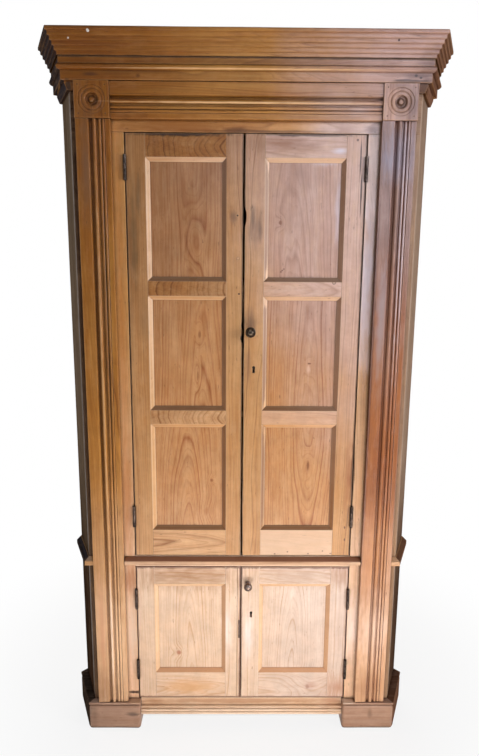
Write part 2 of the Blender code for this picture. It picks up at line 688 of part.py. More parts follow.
def build_lock(name, edge, z, door):
    """Lock case on the back of a door and the bolt that slides in it."""
    x0 = edge + LOCK_INSET
    x1 = x0 + LOCK_WIDTH
    y0 = DOOR_THICK + FIT
    case = box(x0, x1, y0, y0 + LOCK_THICK, z - LOCK_HEIGHT / 2, z + LOCK_HEIGHT / 2)
    half = BOLT_HEIGHT / 2 + FIT
    end = edge + BOLT_LENGTH + LOCK_INSET
    pocket = box(x0 - CUT_PAST, end, y0 + LOCK_WALL, y0 + LOCK_THICK - LOCK_WALL, z - half, z + half)
    add_piece(name + "_case", combine(case, pocket, "DIFFERENCE"), "iron", door)
    slide = add_axis(name + "_bolt_axis", (edge, y0 + LOCK_THICK / 2, z), door)
    bolt = box(edge + FIT, edge + BOLT_LENGTH, y0 + LOCK_WALL + FIT, y0 + LOCK_THICK - LOCK_WALL - FIT,
               z - BOLT_HEIGHT / 2, z + BOLT_HEIGHT / 2)
    add_piece(name + "_bolt", bolt, "brass", slide)


def build_door(name, side, tier, cabinet):
    """One door with its panels, hinge leaves and, on the right hand, its catch and lock."""
    z, height = tier["z"], tier["height"]
    door = add_axis(name + "_axis", (side * HINGE_X, HINGE_Y, z), cabinet)
    edge = meeting_edge(side)
    x0, x1 = sorted((edge, side * DOOR_EDGE))
    px0, px1 = sorted((side * NEAR_STILE, side * (DOOR_EDGE - HINGE_STILE)))
    cuts = [panel_well(px0, px1, low, high) for low, high in tier["panels"]]
    knob_x, knob_z = edge + side * KNOB_INSET, z + height - tier["knob_drop"]
    key_x, key_z = edge + side * KEYHOLE_INSET, knob_z - tier["keyhole_drop"]
    if side > 0:
        hole = SPINDLE_RADIUS + SPINDLE_CLEAR
        through = DOOR_THICK + CUT_PAST
        ends = [(0, -CUT_PAST), (hole, -CUT_PAST), (hole, through), (0, through)]
        cuts.append(turned(ends, KNOB_SIDES, about_y(knob_x, knob_z)))
        cuts.append(keyhole(key_x, key_z))
    slab = box(x0, x1, 0, DOOR_THICK, z, z + height)
    add_piece(name + "_frame", combine(slab, join(*cuts), "DIFFERENCE"), tier["finish"], door)
    inset = CHAMFER_WIDTH - GROOVE_DEPTH + PANEL_PLAY
    front = CHAMFER_DEPTH + GROOVE_SETBACK + FIT
    for number, (low, high) in enumerate(tier["panels"], 1):
        panel = box(px0 + inset, px1 - inset, front, front + PANEL_THICK, low + inset, high - inset)
        add_piece(name + "_panel_" + str(number), panel, tier["finish"], door)
    build_leaves(name + "_low_hinge", side, z + tier["hinge_low"], door)
    build_leaves(name + "_high_hinge", side, z + height - tier["hinge_high"], door)
    if side > 0:
        build_catch(tier["catch"], knob_x, knob_z, tier["knob_radius"], door)
        build_lock(tier["lock"], edge, key_z, door)


def main():
    """Clear the scene and build every piece."""
    for item in list(bpy.data.objects):
        bpy.data.objects.remove(item)
    cabinet = add_axis("cabinet", (0, 0, 0))
    build_boards(cabinet)
    build_face_frame(cabinet)
    build_cornice(cabinet)
    build_waist_mouldings(cabinet)
    for hand, side in (("left", -1), ("right", 1)):
        build_walls(hand, side, cabinet)
        build_foot(hand, side, cabinet)
        build_pilaster(hand, side, cabinet)
        build_block(hand, side, cabinet)
    upper = {"z": UPPER_DOOR_Z, "height": UPPER_DOOR_HEIGHT, "finish": "pine",
             "knob_drop": UPPER_KNOB_DROP, "knob_radius": UPPER_KNOB_RADIUS,
             "keyhole_drop": UPPER_KEYHOLE_DROP, "hinge_low": UPPER_HINGE_LOW,
             "hinge_high": UPPER_HINGE_HIGH, "catch": "upper_knob_catch", "lock": "upper_lock",
             "panels": panel_rows(UPPER_DOOR_Z, UPPER_BOTTOM_RAIL, UPPER_MID_RAIL, UPPER_PANEL_HEIGHT,
                                  UPPER_PANEL_ROWS)}
    lower = {"z": LOWER_DOOR_Z, "height": LOWER_DOOR_HEIGHT, "finish": "pale_pine",
             "knob_drop": LOWER_KNOB_DROP, "knob_radius": LOWER_KNOB_RADIUS,
             "keyhole_drop": LOWER_KEYHOLE_DROP, "hinge_low": LOWER_HINGE_LOW,
             "hinge_high": LOWER_HINGE_HIGH, "catch": "lower_knob_catch", "lock": "lower_lock",
             "panels": panel_rows(LOWER_DOOR_Z, LOWER_BOTTOM_RAIL, 0, LOWER_PANEL_HEIGHT,
                                  LOWER_PANEL_ROWS)}
    for tier_name, tier in (("upper", upper), ("lower", lower)):
        for hand, side in (("left", -1), ("right", 1)):
            build_door(tier_name + "_" + hand + "_door", side, tier, cabinet)
    cabinet.location.y = -DEPTH_MIDDLE


main()
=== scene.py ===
"""Looks of a stripped-pine corner cabinet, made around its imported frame.

Metres, +Z up, doors facing -Y. Each board is cut where the frame says, has grain of its own, and rides
on the body of the node that it stands for.
"""

import json
import math
import random
from collections import namedtuple
from functools import partial

import bmesh
import bpy
from mathutils import Matrix, Vector, noise


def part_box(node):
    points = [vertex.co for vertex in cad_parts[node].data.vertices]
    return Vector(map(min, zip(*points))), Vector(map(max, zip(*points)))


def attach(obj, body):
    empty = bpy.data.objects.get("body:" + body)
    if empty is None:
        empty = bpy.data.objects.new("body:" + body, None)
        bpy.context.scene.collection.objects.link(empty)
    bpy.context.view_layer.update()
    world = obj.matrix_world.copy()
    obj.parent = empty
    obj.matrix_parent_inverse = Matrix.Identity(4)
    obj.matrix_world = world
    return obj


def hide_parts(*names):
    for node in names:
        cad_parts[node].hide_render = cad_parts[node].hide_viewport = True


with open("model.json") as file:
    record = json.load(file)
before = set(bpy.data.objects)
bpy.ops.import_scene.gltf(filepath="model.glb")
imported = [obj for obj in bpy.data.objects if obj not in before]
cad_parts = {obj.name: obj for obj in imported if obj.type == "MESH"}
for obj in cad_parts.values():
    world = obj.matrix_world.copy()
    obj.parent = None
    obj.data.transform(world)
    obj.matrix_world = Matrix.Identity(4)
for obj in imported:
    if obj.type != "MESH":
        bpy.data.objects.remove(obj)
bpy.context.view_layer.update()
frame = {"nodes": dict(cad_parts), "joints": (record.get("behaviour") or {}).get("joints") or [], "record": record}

NODES = frame["nodes"]
BODY_OF = {node: body for body, nodes in frame["record"]["behaviour"]["bodies"].items() for node in nodes}
SLOT_OF = {part["node"]: part["material_slot"] for part in frame["record"]["subparts"]}
JOINT_AT = {joint["name"]: Vector(joint.get("pos_m", (0, 0, 0))) for joint in frame["joints"]}
SEED = 1890
chance = random.Random(SEED)
noise.seed_set(SEED)

# Places that the frame gives
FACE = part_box("face_top_rail")[0].y              # front of the face frame
CORNER = max(v.co.x for v in NODES["face_stile_right"].data.vertices if v.co.y < FACE + 0.001)
CANT = math.radians(22.5)                        # lean of the returns from square to the front
MITRE = math.tan((math.pi / 2 - CANT) / 2)       # sideways run of a mitre for each unit out from the face

# Edges and surfaces left by wear
WELD = 1e-6
FLAT = math.radians(1)
SHARP = math.radians(50)         # steeper edges are rounded over
CREASE = math.radians(60)        # steeper edges stay crisp in the shading
SOFT_EDGE = 0.0011               # rounding of a handled arris
FINE_EDGE = 0.0006               # rounding inside mouldings
IRON_EDGE = 0.0004
SLICE = 0.06                     # length between the sections that carry the hand-planed unevenness
UNEVEN = 0.0004                  # depth of that unevenness
UNEVEN_SCALE = 9.0               # 110 mm, length of its waves

# Sticking round the door panels
TUCK = 0.0036                    # panel edge past the opening's front edge
CHAMFER = 0.012
CHAMFER_DEPTH = 0.008
STRIP_REST = 0.0004              # strip clear of the panel
STRIP_SOFT = 0.0004              # rounding of a strip
WORN_STEP = 0.006                # spacing of the points along a worn door edge

OUT = Vector((0, -1, 0))
UP = Vector((0, 0, 1))
RIGHT = Vector((1, 0, 0))


# Colour and nodes

# Patterns in the wood, so many to the metre across and along the grain. Rings and fibre are drawn two or
# three times as coarse as life, because finer ones are lost in the render.
WANDER = (8, 1.5)                # 125 x 670 mm, slow wander of the rings
FIBRE = (260, 5)                 # 4 x 200 mm, fibre streaks
CLOUD = (45, 2)                  # 22 x 500 mm, changes of tone
WAX_FILM = (34, 11)              # 30 x 90 mm, bloom of the wax
PORES = (260, 40)                # 4 x 25 mm, dark pores
RAGGED = (110, 22)               # 9 x 45 mm, torn rims of knots and stains
SCUFFS = 16.0                    # 60 mm, rubbed and dull patches
BLOTCHES = 5.0                   # 200 mm, patchy rim of a change of colour
SWAY = 0.04                      # how far the rings wander
RING_SHADES = [(0.0, 0.15), (0.06, 0.0), (0.5, 0.06), (0.74, 0.5), (0.88, 1.0), (1.0, 0.2)]
UNEVEN_RINGS = 2.4               # how far the spacing of the rings strays
FINER_RINGS = 2.7                # faint rings to each strong one
KNOT_REACH = 3.6                 # rings bend out to this many times a knot's size
RIM, TORN = 1.45, 0.9            # where a mark's rim lies, and how far its raggedness moves it
SPAN = {1: 0.3, 2: 0.7}          # span that holds most values of a noise
SMOOTH = {"interpolation_type": "SMOOTHSTEP"}
EDGE_WEAR_AND_HIGHLIGHT = 0.004                # how far in an arris is rubbed and painted with highlight
RECESS = 0.012                   # how wide a recess holds grime and painted shade
COAT = 0.6                       # wax coat for each unit of sheen
PATCHES = 160.0                  # 6 mm, rubbed patches on metal
PITS = 900.0                     # 1 mm, pitting of metal

# A change of colour towards one side of the cabinet, mostly painted light and shade; a dull one takes the polish
# off as well
Fade = namedtuple("Fade", "towards blotch start end most early late dull", defaults=[False])

# Painted shade and light on the faces that are turned one way, by how the light falls on them
FacingLightAndShade = namedtuple("FacingLightAndShade", "towards start end most colour")

# A knot, stain, chip, rubbed place, painted highlight or painted shadow: middle, half width and height, softness
# of its rim, push on the rings
Mark = namedtuple("Mark", "x z wide high soft colour strength push", defaults=[0.0])


def linear(code):
    """An sRGB hex colour as linear RGBA."""
    parts = [int(code[i:i + 2], 16) / 255 for i in (1, 3, 5)]
    return (*[c / 12.92 if c <= 0.04045 else ((c + 0.055) / 1.055) ** 2.4 for c in parts], 1.0)


def feed(node, inputs):
    """Set a node's inputs; each is a value or the socket that feeds it."""
    for key, value in inputs.items():
        if isinstance(value, bpy.types.NodeSocket):
            node.id_data.links.new(value, node.inputs[key])
        else:
            node.inputs[key].default_value = value


def add_node(tree, kind, inputs, operation=None, stops=(), **settings):
    """A node with its operation, settings, inputs and stops."""
    node = tree.nodes.new("ShaderNode" + kind)
    if operation:
        node.operation = operation
    for key, value in settings.items():
        setattr(node, key, value)
    feed(node, inputs)
    if stops:
        ramp = node.color_ramp
        while len(ramp.elements) < len(stops):
            ramp.elements.new(0.5)
        for element, (place, shade) in zip(ramp.elements, stops):
            element.position = place
            element.color = (shade, shade, shade, 1)
    return node.outputs


def start_material(name):
    """A new material, its shader, and the function that adds its nodes."""
    material = bpy.data.materials.new(name)
    material.use_nodes = True
    tree = material.node_tree
    return material, tree.nodes["Principled BSDF"], partial(add_node, tree)


def along_grain(add, grain, size, detail, rough=0.5):
    """Noise drawn out along the grain."""
    spread = add("VectorMath", {0: grain, 1: (size[0], *size)}, "MULTIPLY")[0]
    return add("TexNoise", {"Vector": spread, "Scale": 1.0, "Detail": detail, "Roughness": rough})


def pine(name, early, late, ring_mm, figure, rough, grime_and_shade=0.85, soil_and_shade="#2E1606", worn=0.35, pale="#D9AE80",
         sheen=0.26, bloom=0.16, light_and_shade_by_facing=(), fades=(), marks=()):
    """Waxed pine: pale early wood between darker late-wood rings, fine fibre, knots, grime and painted shade in
    recesses, painted highlights on arrises, painted light and shade from fades, marks and facing layers.
    """
    material, shader, add = start_material(name)
    grain = add("Attribute", {}, attribute_name="grain")["Vector"]
    place = add("TexCoord", {})["Object"]
    pale, soil_and_shade = linear(pale), linear(soil_and_shade)

    # Rings wander slowly along the board
    wander = along_grain(add, grain, WANDER, 3.0)["Color"]
    centred = add("VectorMath", {0: wander, 1: (0.5, 0.5, 0.5)}, "SUBTRACT")[0]
    pushed = add("VectorMath", {0: centred, "Scale": SWAY}, "SCALE")[0]
    bent = add("VectorMath", {0: grain, 1: pushed}, "ADD")[0]
    across = add("VectorMath", {0: bent, 1: (1, 1, 0)}, "MULTIPLY")[0]
    radius = add("VectorMath", {0: across}, "LENGTH")["Value"]

    # Distance from each mark; rings bend round the knots
    spots = [Mark(*row) for row in marks]
    reach = []
    for spot in spots:
        size = (1 / spot.wide, 0, 1 / spot.high)
        off = add("VectorMath", {0: place, 1: (spot.x, 0, spot.z)}, "SUBTRACT")[0]
        scaled = add("VectorMath", {0: off, 1: size}, "MULTIPLY")[0]
        far = add("VectorMath", {0: scaled}, "LENGTH")["Value"]
        reach.append(far)
        if spot.push:
            swell = add("MapRange", {0: far, 1: KNOT_REACH, 2: 0.0, 3: 0.0, 4: spot.push}, **SMOOTH)[0]
            radius = add("Math", {0: radius, 1: swell}, "ADD")[0]

    # Rings at uneven spacing and of uneven strength, with finer ones between
    even = add("Math", {0: radius, 1: ring_mm / 1000}, "DIVIDE")[0]
    shift = add("TexNoise", {"W": even, "Scale": 0.45, "Detail": 1.0}, noise_dimensions="1D")[0]
    phase = add("Math", {0: shift, 1: UNEVEN_RINGS, 2: even}, "MULTIPLY_ADD")[0]
    count = add("Math", {0: phase}, "FLOOR")[0]
    part = add("Math", {0: phase}, "FRACT")[0]
    band = add("ValToRGB", {0: part}, stops=RING_SHADES)[0]
    each = add("TexWhiteNoise", {"W": count}, noise_dimensions="1D")["Value"]
    depth = add("MapRange", {0: each, 1: 0.15, 3: 0.12, 4: 1.0})[0]
    strong = add("Math", {0: band, 1: depth}, "MULTIPLY")[0]
    closer = add("Math", {0: phase, 1: FINER_RINGS}, "MULTIPLY")[0]
    closer = add("Math", {0: closer}, "FRACT")[0]
    faint = add("MapRange", {0: closer, 1: 0.6, 2: 0.95, 3: 0.0, 4: 0.3}, **SMOOTH)[0]
    ring = add("Math", {0: strong, 1: faint}, "MAXIMUM")[0]
    lines = add("Math", {0: ring, 1: figure}, "MULTIPLY")[0]
    wood = add("Mix", {0: lines, 6: linear(early), 7: linear(late)}, data_type="RGBA")[2]

    # Paler, pinker or darker towards one side of the cabinet: mostly painted light and shade, some changes of the
    # wood itself
    polish = sheen
    for fade in fades:
        lean = add("VectorMath", {0: place, 1: fade.towards}, "DOT_PRODUCT")["Value"]
        blotch = add("TexNoise", {"Vector": place, "Scale": BLOTCHES, "Detail": 4.0})[0]
        mixed = add("Math", {0: blotch, 1: fade.blotch, 2: lean}, "MULTIPLY_ADD")[0]
        amount = add("MapRange", {0: mixed, 1: fade.start, 2: fade.end, 3: 0.0, 4: fade.most}, **SMOOTH)[0]
        other = add("Mix", {0: lines, 6: linear(fade.early), 7: linear(fade.late)}, data_type="RGBA")[2]
        wood = add("Mix", {0: amount, 6: wood, 7: other}, data_type="RGBA")[2]
        if fade.dull:
            polish = add("Mix", {0: amount, 2: polish, 3: 0.0})[0]

    # Fibre streaks, changes of tone that deepen the colour, wax bloom and dark pores
    fibre = along_grain(add, grain, FIBRE, 5.0, 0.7)[0]
    cloud = along_grain(add, grain, CLOUD, 5.0, 0.6)[0]
    scuff = add("TexNoise", {"Vector": place, "Scale": SCUFFS, "Detail": 7.0, "Roughness": 0.72})[0]
    streak = add("MapRange", {0: fibre, **SPAN, 3: 1.1, 4: 0.9})[0]
    patch = add("MapRange", {0: cloud, **SPAN, 3: 1.14, 4: 0.9})[0]
    tone = add("MapRange", {0: scuff, **SPAN, 3: 0.87, 4: 1.12})[0]
    richer = add("Math", {0: streak, 1: patch}, "MULTIPLY")[0]
    deep = add("Gamma", {"Color": wood, "Gamma": richer})[0]
    colour = add("Mix", {0: 1.0, 6: deep, 7: tone}, data_type="RGBA", blend_type="MULTIPLY")[2]
    film = along_grain(add, grain, WAX_FILM, 6.0, 0.7)[0]
    film = add("MapRange", {0: film, 1: 0.5, 2: 0.66, 3: 0.0, 4: bloom})[0]
    bits = along_grain(add, grain, PORES, 2.0)[0]
    fleck = add("MapRange", {0: bits, 1: 0.7, 2: 0.76, 3: 0.0, 4: 0.55})[0]
    layers = [(film, pale), (fleck, soil_and_shade)]

    # Knots, stains, chips and plugs, and painted highlights, glare and shadows, ragged along the grain
    ragged = along_grain(add, grain, RAGGED, 4.0)[0]
    for spot, far in zip(spots, reach):
        rim = add("Math", {0: ragged, 1: TORN, 2: far}, "MULTIPLY_ADD")[0]
        inside = add("MapRange", {0: rim, 1: RIM, 2: RIM - spot.soft, 3: 0.0, 4: spot.strength}, **SMOOTH)[0]
        layers.append((inside, linear(spot.colour)))

    # Arrises are paler: rubbed wear, and a painted highlight along them
    thinness = add("AmbientOcclusion", {"Distance": EDGE_WEAR_AND_HIGHLIGHT}, samples=4, inside=True)["AO"]
    rubbed = add("MapRange", {0: thinness, 1: 0.85, 2: 0.45, 3: 0.0, 4: worn})[0]
    layers.append((rubbed, pale))

    # Painted shade on the faces turned up or away from the light, and a painted tint on those turned to it
    facing = add("NewGeometry", {})["Normal"] if light_and_shade_by_facing else None
    for layer in light_and_shade_by_facing:
        turned_to = add("VectorMath", {0: facing, 1: layer.towards}, "DOT_PRODUCT")["Value"]
        facing_tint = add("MapRange", {0: turned_to, 1: layer.start, 2: layer.end, 3: 0.0, 4: layer.most})[0]
        layers.append((facing_tint, linear(layer.colour)))

    # Old wax and dirt in the recesses, and painted shade there: darker where ambient occlusion finds the surface
    # sheltered
    shelter = add("AmbientOcclusion", {"Distance": RECESS}, samples=6)["AO"]
    dirt_and_shade = add("MapRange", {0: shelter, 1: 0.85, 2: 0.4, 3: 0.0, 4: grime_and_shade})[0]
    layers.append((dirt_and_shade, soil_and_shade))
    for amount, shade in layers:
        colour = add("Mix", {0: amount, 6: colour, 7: shade}, data_type="RGBA")[2]

    # Patchy wax over a surface that isn't quite flat
    gloss = add("MapRange", {0: scuff, **SPAN, 3: rough + 0.1, 4: rough - 0.08})[0]
    rise = add("Math", {0: fibre, 1: 0.5, 2: ring}, "MULTIPLY_ADD")[0]
    rise = add("Math", {0: scuff, 1: 2.2, 2: rise}, "MULTIPLY_ADD")[0]
    bump = add("Bump", {"Height": rise, "Strength": 0.3, "Distance": 0.0006})[0]
    feed(shader, {"Base Color": colour, "Roughness": gloss, "Normal": bump, "IOR": 1.5,
                  "Specular IOR Level": sheen, "Coat Weight": COAT * sheen, "Coat Roughness": 0.25})
    if polish is not sheen:
        coat = add("Math", {0: polish, 1: COAT}, "MULTIPLY")[0]
        feed(shader, {"Specular IOR Level": polish, "Coat Weight": coat})
    return material


def metal(name, base, worn, rough, spread):
    """Handled metal: a dark skin of age, rubbed brighter in patches, with fine pitting."""
    material, shader, add = start_material(name)
    place = add("TexCoord", {})["Object"]
    patchy = add("TexNoise", {"Vector": place, "Scale": PATCHES, "Detail": 4.0})[0]
    rubbed = add("MapRange", {0: patchy, 1: 0.42, 2: 0.66, 3: 0.0, 4: 1.0})[0]
    colour = add("Mix", {0: rubbed, 6: linear(base), 7: linear(worn)}, data_type="RGBA")[2]
    gloss = add("MapRange", {0: patchy, 3: rough + spread, 4: rough - spread})[0]
    pits = add("TexNoise", {"Vector": place, "Scale": PITS, "Detail": 2.0})[0]
    bump = add("Bump", {"Height": pits, "Strength": 0.2, "Distance": 0.0003})[0]
    feed(shader, {"Base Color": colour, "Roughness": gloss, "Normal": bump, "Metallic": 1.0})
    return material


# Bodies in mesh code

def loft(rings):
    """A closed body through rings of equally many points."""
    bm = bmesh.new()
    rows = [[bm.verts.new(point) for point in ring] for ring in rings]
    count = len(rows[0])
    for row, above in zip(rows, rows[1:]):
        for i in range(count):
            j = (i + 1) % count
            bm.faces.new((row[i], row[j], above[j], above[i]))
    bm.faces.new(rows[0])
    bm.faces.new(rows[-1])
    bmesh.ops.recalc_face_normals(bm, faces=bm.faces)
    return bm


def slab(outline, front, back):
    """A board with an upright outline of (x, z) points."""
    return loft([[(x, y, z) for x, z in outline] for y in (front, back)])


def rectangle(x0, x1, z0, z1):
    """Outline of a straight board."""
    return [(x0, z0), (x1, z0), (x1, z1), (x0, z1)]


def turned(profile, sides, x, z):
    """A body turned about a front-to-back axis from (radius, y) pairs that start and end on the axis."""
    bm = bmesh.new()
    rows = []
    for radius, y in profile:
        if radius == 0:
            rows.append([bm.verts.new((x, y, z))])
            continue
        turns = [2 * math.pi * i / sides for i in range(sides)]
        rows.append([bm.verts.new((x + radius * math.cos(t), y, z + radius * math.sin(t))) for t in turns])
    for row, above in zip(rows, rows[1:]):
        for i in range(sides):
            j = (i + 1) % sides
            ring = [row[i % len(row)], row[j % len(row)], above[j % len(above)], above[i % len(above)]]
            bm.faces.new(list(dict.fromkeys(ring)))
    bmesh.ops.recalc_face_normals(bm, faces=bm.faces)
    return bm


def arc(a, b, radius_a, radius_b, start, end, steps):
    """Points of an elliptical arc, angles in degrees."""
    turns = [math.radians(start + (end - start) * i / steps) for i in range(steps + 1)]
    return [(a + radius_a * math.cos(t), b + radius_b * math.sin(t)) for t in turns]


def copy_of(node):
    """A node's solid, with its triangles joined back into flat faces."""
    mesh = NODES[node].data
    bm = bmesh.new()
    verts = [bm.verts.new(vert.co) for vert in mesh.vertices]
    for polygon in mesh.polygons:
        bm.faces.new([verts[i] for i in polygon.vertices])
    bmesh.ops.remove_doubles(bm, verts=bm.verts, dist=WELD)
    bmesh.ops.dissolve_limit(bm, angle_limit=FLAT, verts=bm.verts, edges=bm.edges)
    bmesh.ops.recalc_face_normals(bm, faces=bm.faces)
    return bm


def between(bm, direction, low, high):
    """The part of a body between two planes, closed at the cuts."""
    part = bm.copy()
    for limit, way in ((low, -1), (high, 1)):
        bmesh.ops.bisect_plane(part, geom=part.verts[:] + part.edges[:] + part.faces[:],
                               plane_co=direction * limit, plane_no=direction * way, clear_outer=True)
        rim = [edge for edge in part.edges if edge.is_boundary]
        if rim:
            bmesh.ops.holes_fill(part, edges=rim, sides=0)
    bmesh.ops.recalc_face_normals(part, faces=part.faces)
    return part


def put(name, data):
    """An object for a mesh, lamp or camera, in the scene."""
    item = bpy.data.objects.new(name, data)
    bpy.context.scene.collection.objects.link(item)
    return item


def mesh_of(name, bm):
    """A body as a mesh."""
    mesh = bpy.data.meshes.new(name)
    bm.to_mesh(mesh)
    bm.free()
    return mesh


def carve(bm, tool):
    """Cut one body out of another."""
    pair = [put("carving", mesh_of("carving", body)) for body in (bm, tool)]
    modifier = pair[0].modifiers.new("carving", "BOOLEAN")
    modifier.operation = "DIFFERENCE"
    modifier.object = pair[1]
    modifier.solver = "EXACT"
    result = bmesh.new()
    result.from_mesh(pair[0].evaluated_get(bpy.context.evaluated_depsgraph_get()).to_mesh())
    for item in pair:
        mesh = item.data
        bpy.data.objects.remove(item)
        bpy.data.meshes.remove(mesh)
    return result


def soften(bm, width, segments=2):
    """Round over the steep edges, as handling and stripping leave them."""
    steep = [edge for edge in bm.edges if len(edge.link_faces) == 2 and edge.calc_face_angle() > SHARP]
    bmesh.ops.bevel(bm, geom=steep, offset=width, segments=segments, profile=0.5, affect="EDGES",
                    clamp_overlap=True)


def plane_unevenly(bm, along, size=UNEVEN):
    """Cut sections along a length and shift them a little, so that its edges aren't ruled straight."""
    reach = [vert.co.dot(along) for vert in bm.verts]
    low, high = min(reach), max(reach)
    count = int((high - low) / SLICE)
    for i in range(1, count):
        bmesh.ops.bisect_plane(bm, geom=bm.verts[:] + bm.edges[:] + bm.faces[:],
                               plane_co=along * (low + (high - low) * i / count), plane_no=along)
    for vert in bm.verts:
        vert.co += noise.noise_vector(vert.co * UNEVEN_SCALE) * size


# Grain

def lie(middle, along, out, aside=None, depth=None, tilt=None):
    """How a board was sawn from its log: where the pith runs, beside and behind the board's middle."""
    along = Vector(along).normalized()
    out = Vector(out).normalized()
    across = along.cross(out)
    aside = chance.uniform(-0.16, 0.16) if aside is None else aside
    depth = chance.uniform(0.05, 0.14) if depth is None else depth
    tilt = chance.uniform(-0.03, 0.03) if tilt is None else tilt
    start = chance.uniform(0, 40)

    def spot(point):
        off = point - middle
        far = off.dot(along)
        return Vector((off.dot(across) - aside, off.dot(out) + depth + tilt * far, far + start))
    return spot


def middle_of(bm):
    """Middle of a body's box."""
    xs, ys, zs = zip(*(vert.co for vert in bm.verts))
    return Vector(((min(xs) + max(xs)) / 2, (min(ys) + max(ys)) / 2, (min(zs) + max(zs)) / 2))


def lay_grain(bm, pick):
    """Write each face corner's place in its log; pick gives the board of a face by its middle."""
    layer = bm.loops.layers.float_vector.new("grain")
    for face in bm.faces:
        spot = pick(face.calc_center_median())
        for loop in face.loops:
            loop[layer] = spot(loop.vert.co)
    return bm


def board(bm, along, out, edge=SOFT_EDGE, uneven=UNEVEN, **sawn):
    """Finish one straight board: rounded edges, slight unevenness, its own grain."""
    spot = lie(middle_of(bm), along, out, **sawn)
    soften(bm, edge)
    if uneven:
        plane_unevenly(bm, Vector(along), uneven)
    return lay_grain(bm, lambda centre: spot)


def gather(boards):
    """Put finished boards into one body, each still a closed shape of its own."""
    whole = bmesh.new()
    layer = whole.loops.layers.float_vector.new("grain")
    for part in boards:
        source = part.loops.layers.float_vector["grain"]
        verts = {vert: whole.verts.new(vert.co) for vert in part.verts}
        for face in part.faces:
            made = whole.faces.new([verts[vert] for vert in face.verts])
            for new, old in zip(made.loops, face.loops):
                new[layer] = old[source]
        part.free()
    return whole


def place_piece(name, bm, material, body, slot, *stands_for):
    """Make the object, ride it on its body and hide the nodes that it stands for."""
    bmesh.ops.recalc_face_normals(bm, faces=bm.faces)
    mesh = mesh_of(name, bm)
    mesh.shade_smooth()
    mesh.set_sharp_from_angle(angle=CREASE)
    mesh.materials.append(material)
    piece = put(name, mesh)
    normals = piece.modifiers.new("even shading", "WEIGHTED_NORMAL")
    normals.keep_sharp = True
    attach(piece, body)
    if stands_for:
        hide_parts(*stands_for)
    return piece


def stand_in(node, bm, material):
    """A finished body in the place of one node."""
    return place_piece(node + "_finished", bm, material, BODY_OF[node], SLOT_OF[node], node)


# Finishes

TO_FLOOR = (0.25, 0, -1)
TO_TOP_RIGHT = (0.9, 0, 0.45)
TO_RIGHT = (0.9, 0, 0.3)
TO_TOP_LEFT = (-0.8, 0, 0.6)

# Casings go from brown at the top to pale near the floor: painted light from below, over some rubbing
LOW_PALE = Fade(TO_FLOOR, 0.3, -0.95, 0.0, 0.85, "#DDB896", "#AE7248")
LOW_PALE_FACE = Fade(TO_FLOOR, 0.3, -1.4, -0.1, 0.9, "#E0BC9E", "#AE7A4E")

# Upper doors and casings are painted paler and greyer towards the top right: painted glare and light from the
# window on that side
GLARE_TOP_RIGHT = Fade(TO_TOP_RIGHT, 0.3, 0.74, 1.08, 0.75, "#CDAC9C", "#8E6852")
GLARE_PANEL = Fade(TO_TOP_RIGHT, 0.3, 0.70, 1.02, 0.8, "#C09E8E", "#96705C")
GLARE_EDGE = Fade(TO_TOP_RIGHT, 0.3, 0.70, 1.0, 0.85, "#E2C0A2", "#B08A6E")
GLARE_CASING = Fade(TO_RIGHT, 0.3, 0.78, 1.15, 0.9, "#BE9A8C", "#7E5A48")
GLARE_FACE = Fade(TO_RIGHT, 0.3, 0.80, 1.02, 0.9, "#EACFC0", "#B08C76")

# Upper doors are painted dimmer towards the top left: painted shade, away from the light at the lower right
DIM_DOOR = Fade(TO_TOP_LEFT, 0.25, 1.05, 1.35, 0.75, "#A06E3C", "#5E3410")
DIM_PANEL = Fade(TO_TOP_LEFT, 0.25, 0.98, 1.3, 0.75, "#9A6A42", "#7A4622")
DIM_RAIL = Fade(TO_TOP_LEFT, 0.25, 0.70, 1.3, 0.95, "#9C652E", "#5E300A")

# Lower doors are pinker towards the right
PINKER = Fade((1, 0, 0), 0.15, 0.02, 0.28, 0.85, "#D2BFB2", "#B08868")

# Strips of the face stiles outside the casings were never scrubbed and match the returns; the left-hand strip is
# darkened as painted shade too
STRIP = CORNER - 0.0165
STRIP_EDGE = (STRIP, STRIP + 0.0015)
STRIP_LEFT = Fade((-1, 0, 0), 0.002, *STRIP_EDGE, 0.95, "#5E4C3E", "#3A2C24", dull=True)
STRIP_RIGHT = Fade((1, 0, 0), 0.002, *STRIP_EDGE, 0.95, "#947860", "#6A503A", dull=True)

# The right-hand return is painted lighter than the left: painted light on the side towards the window, the
# left-hand return in painted shade
LIT_RIGHT_RETURN = Fade((1, 0, 0), 0.1, 0.0, 0.3, 0.9, "#947A64", "#6C523D")

# Both returns darken towards the floor
DARK_LOW = Fade((0, 0, -1), 0.2, -0.9, -0.3, 0.8, "#382014", "#22140C")

# Mouldings are painted dark grey past the left-hand mitre, as painted shade with a cool reflection on the return
# away from the light, and brown past the right-hand one
PAST_MITRE = CORNER + FACE * MITRE
AT_MITRE = (PAST_MITRE - 0.0004, PAST_MITRE + 0.0004)
SHADED_LEFT_RETURN = Fade((-1, MITRE, 0), 0.0, *AT_MITRE, 1.0, "#463E3E", "#2A2424", dull=True)
# The feet's left-hand returns get the same painted shade, browner
SHADED_FOOT = SHADED_LEFT_RETURN._replace(early="#4A3C32", late="#33281F")
BROWN_RIGHT = Fade((1, MITRE, 0), 0.0, *AT_MITRE, 1.0, "#7A5640", "#50342A", dull=True)

# Top left of the casings is painted deepest and darkest in colour: painted shade, away from the light at the lower
# right
SHADED_TOP_LEFT = Fade((-1, 0, 0.3), 0.3, 0.80, 1.18, 0.9, "#8E5208", "#582C02")

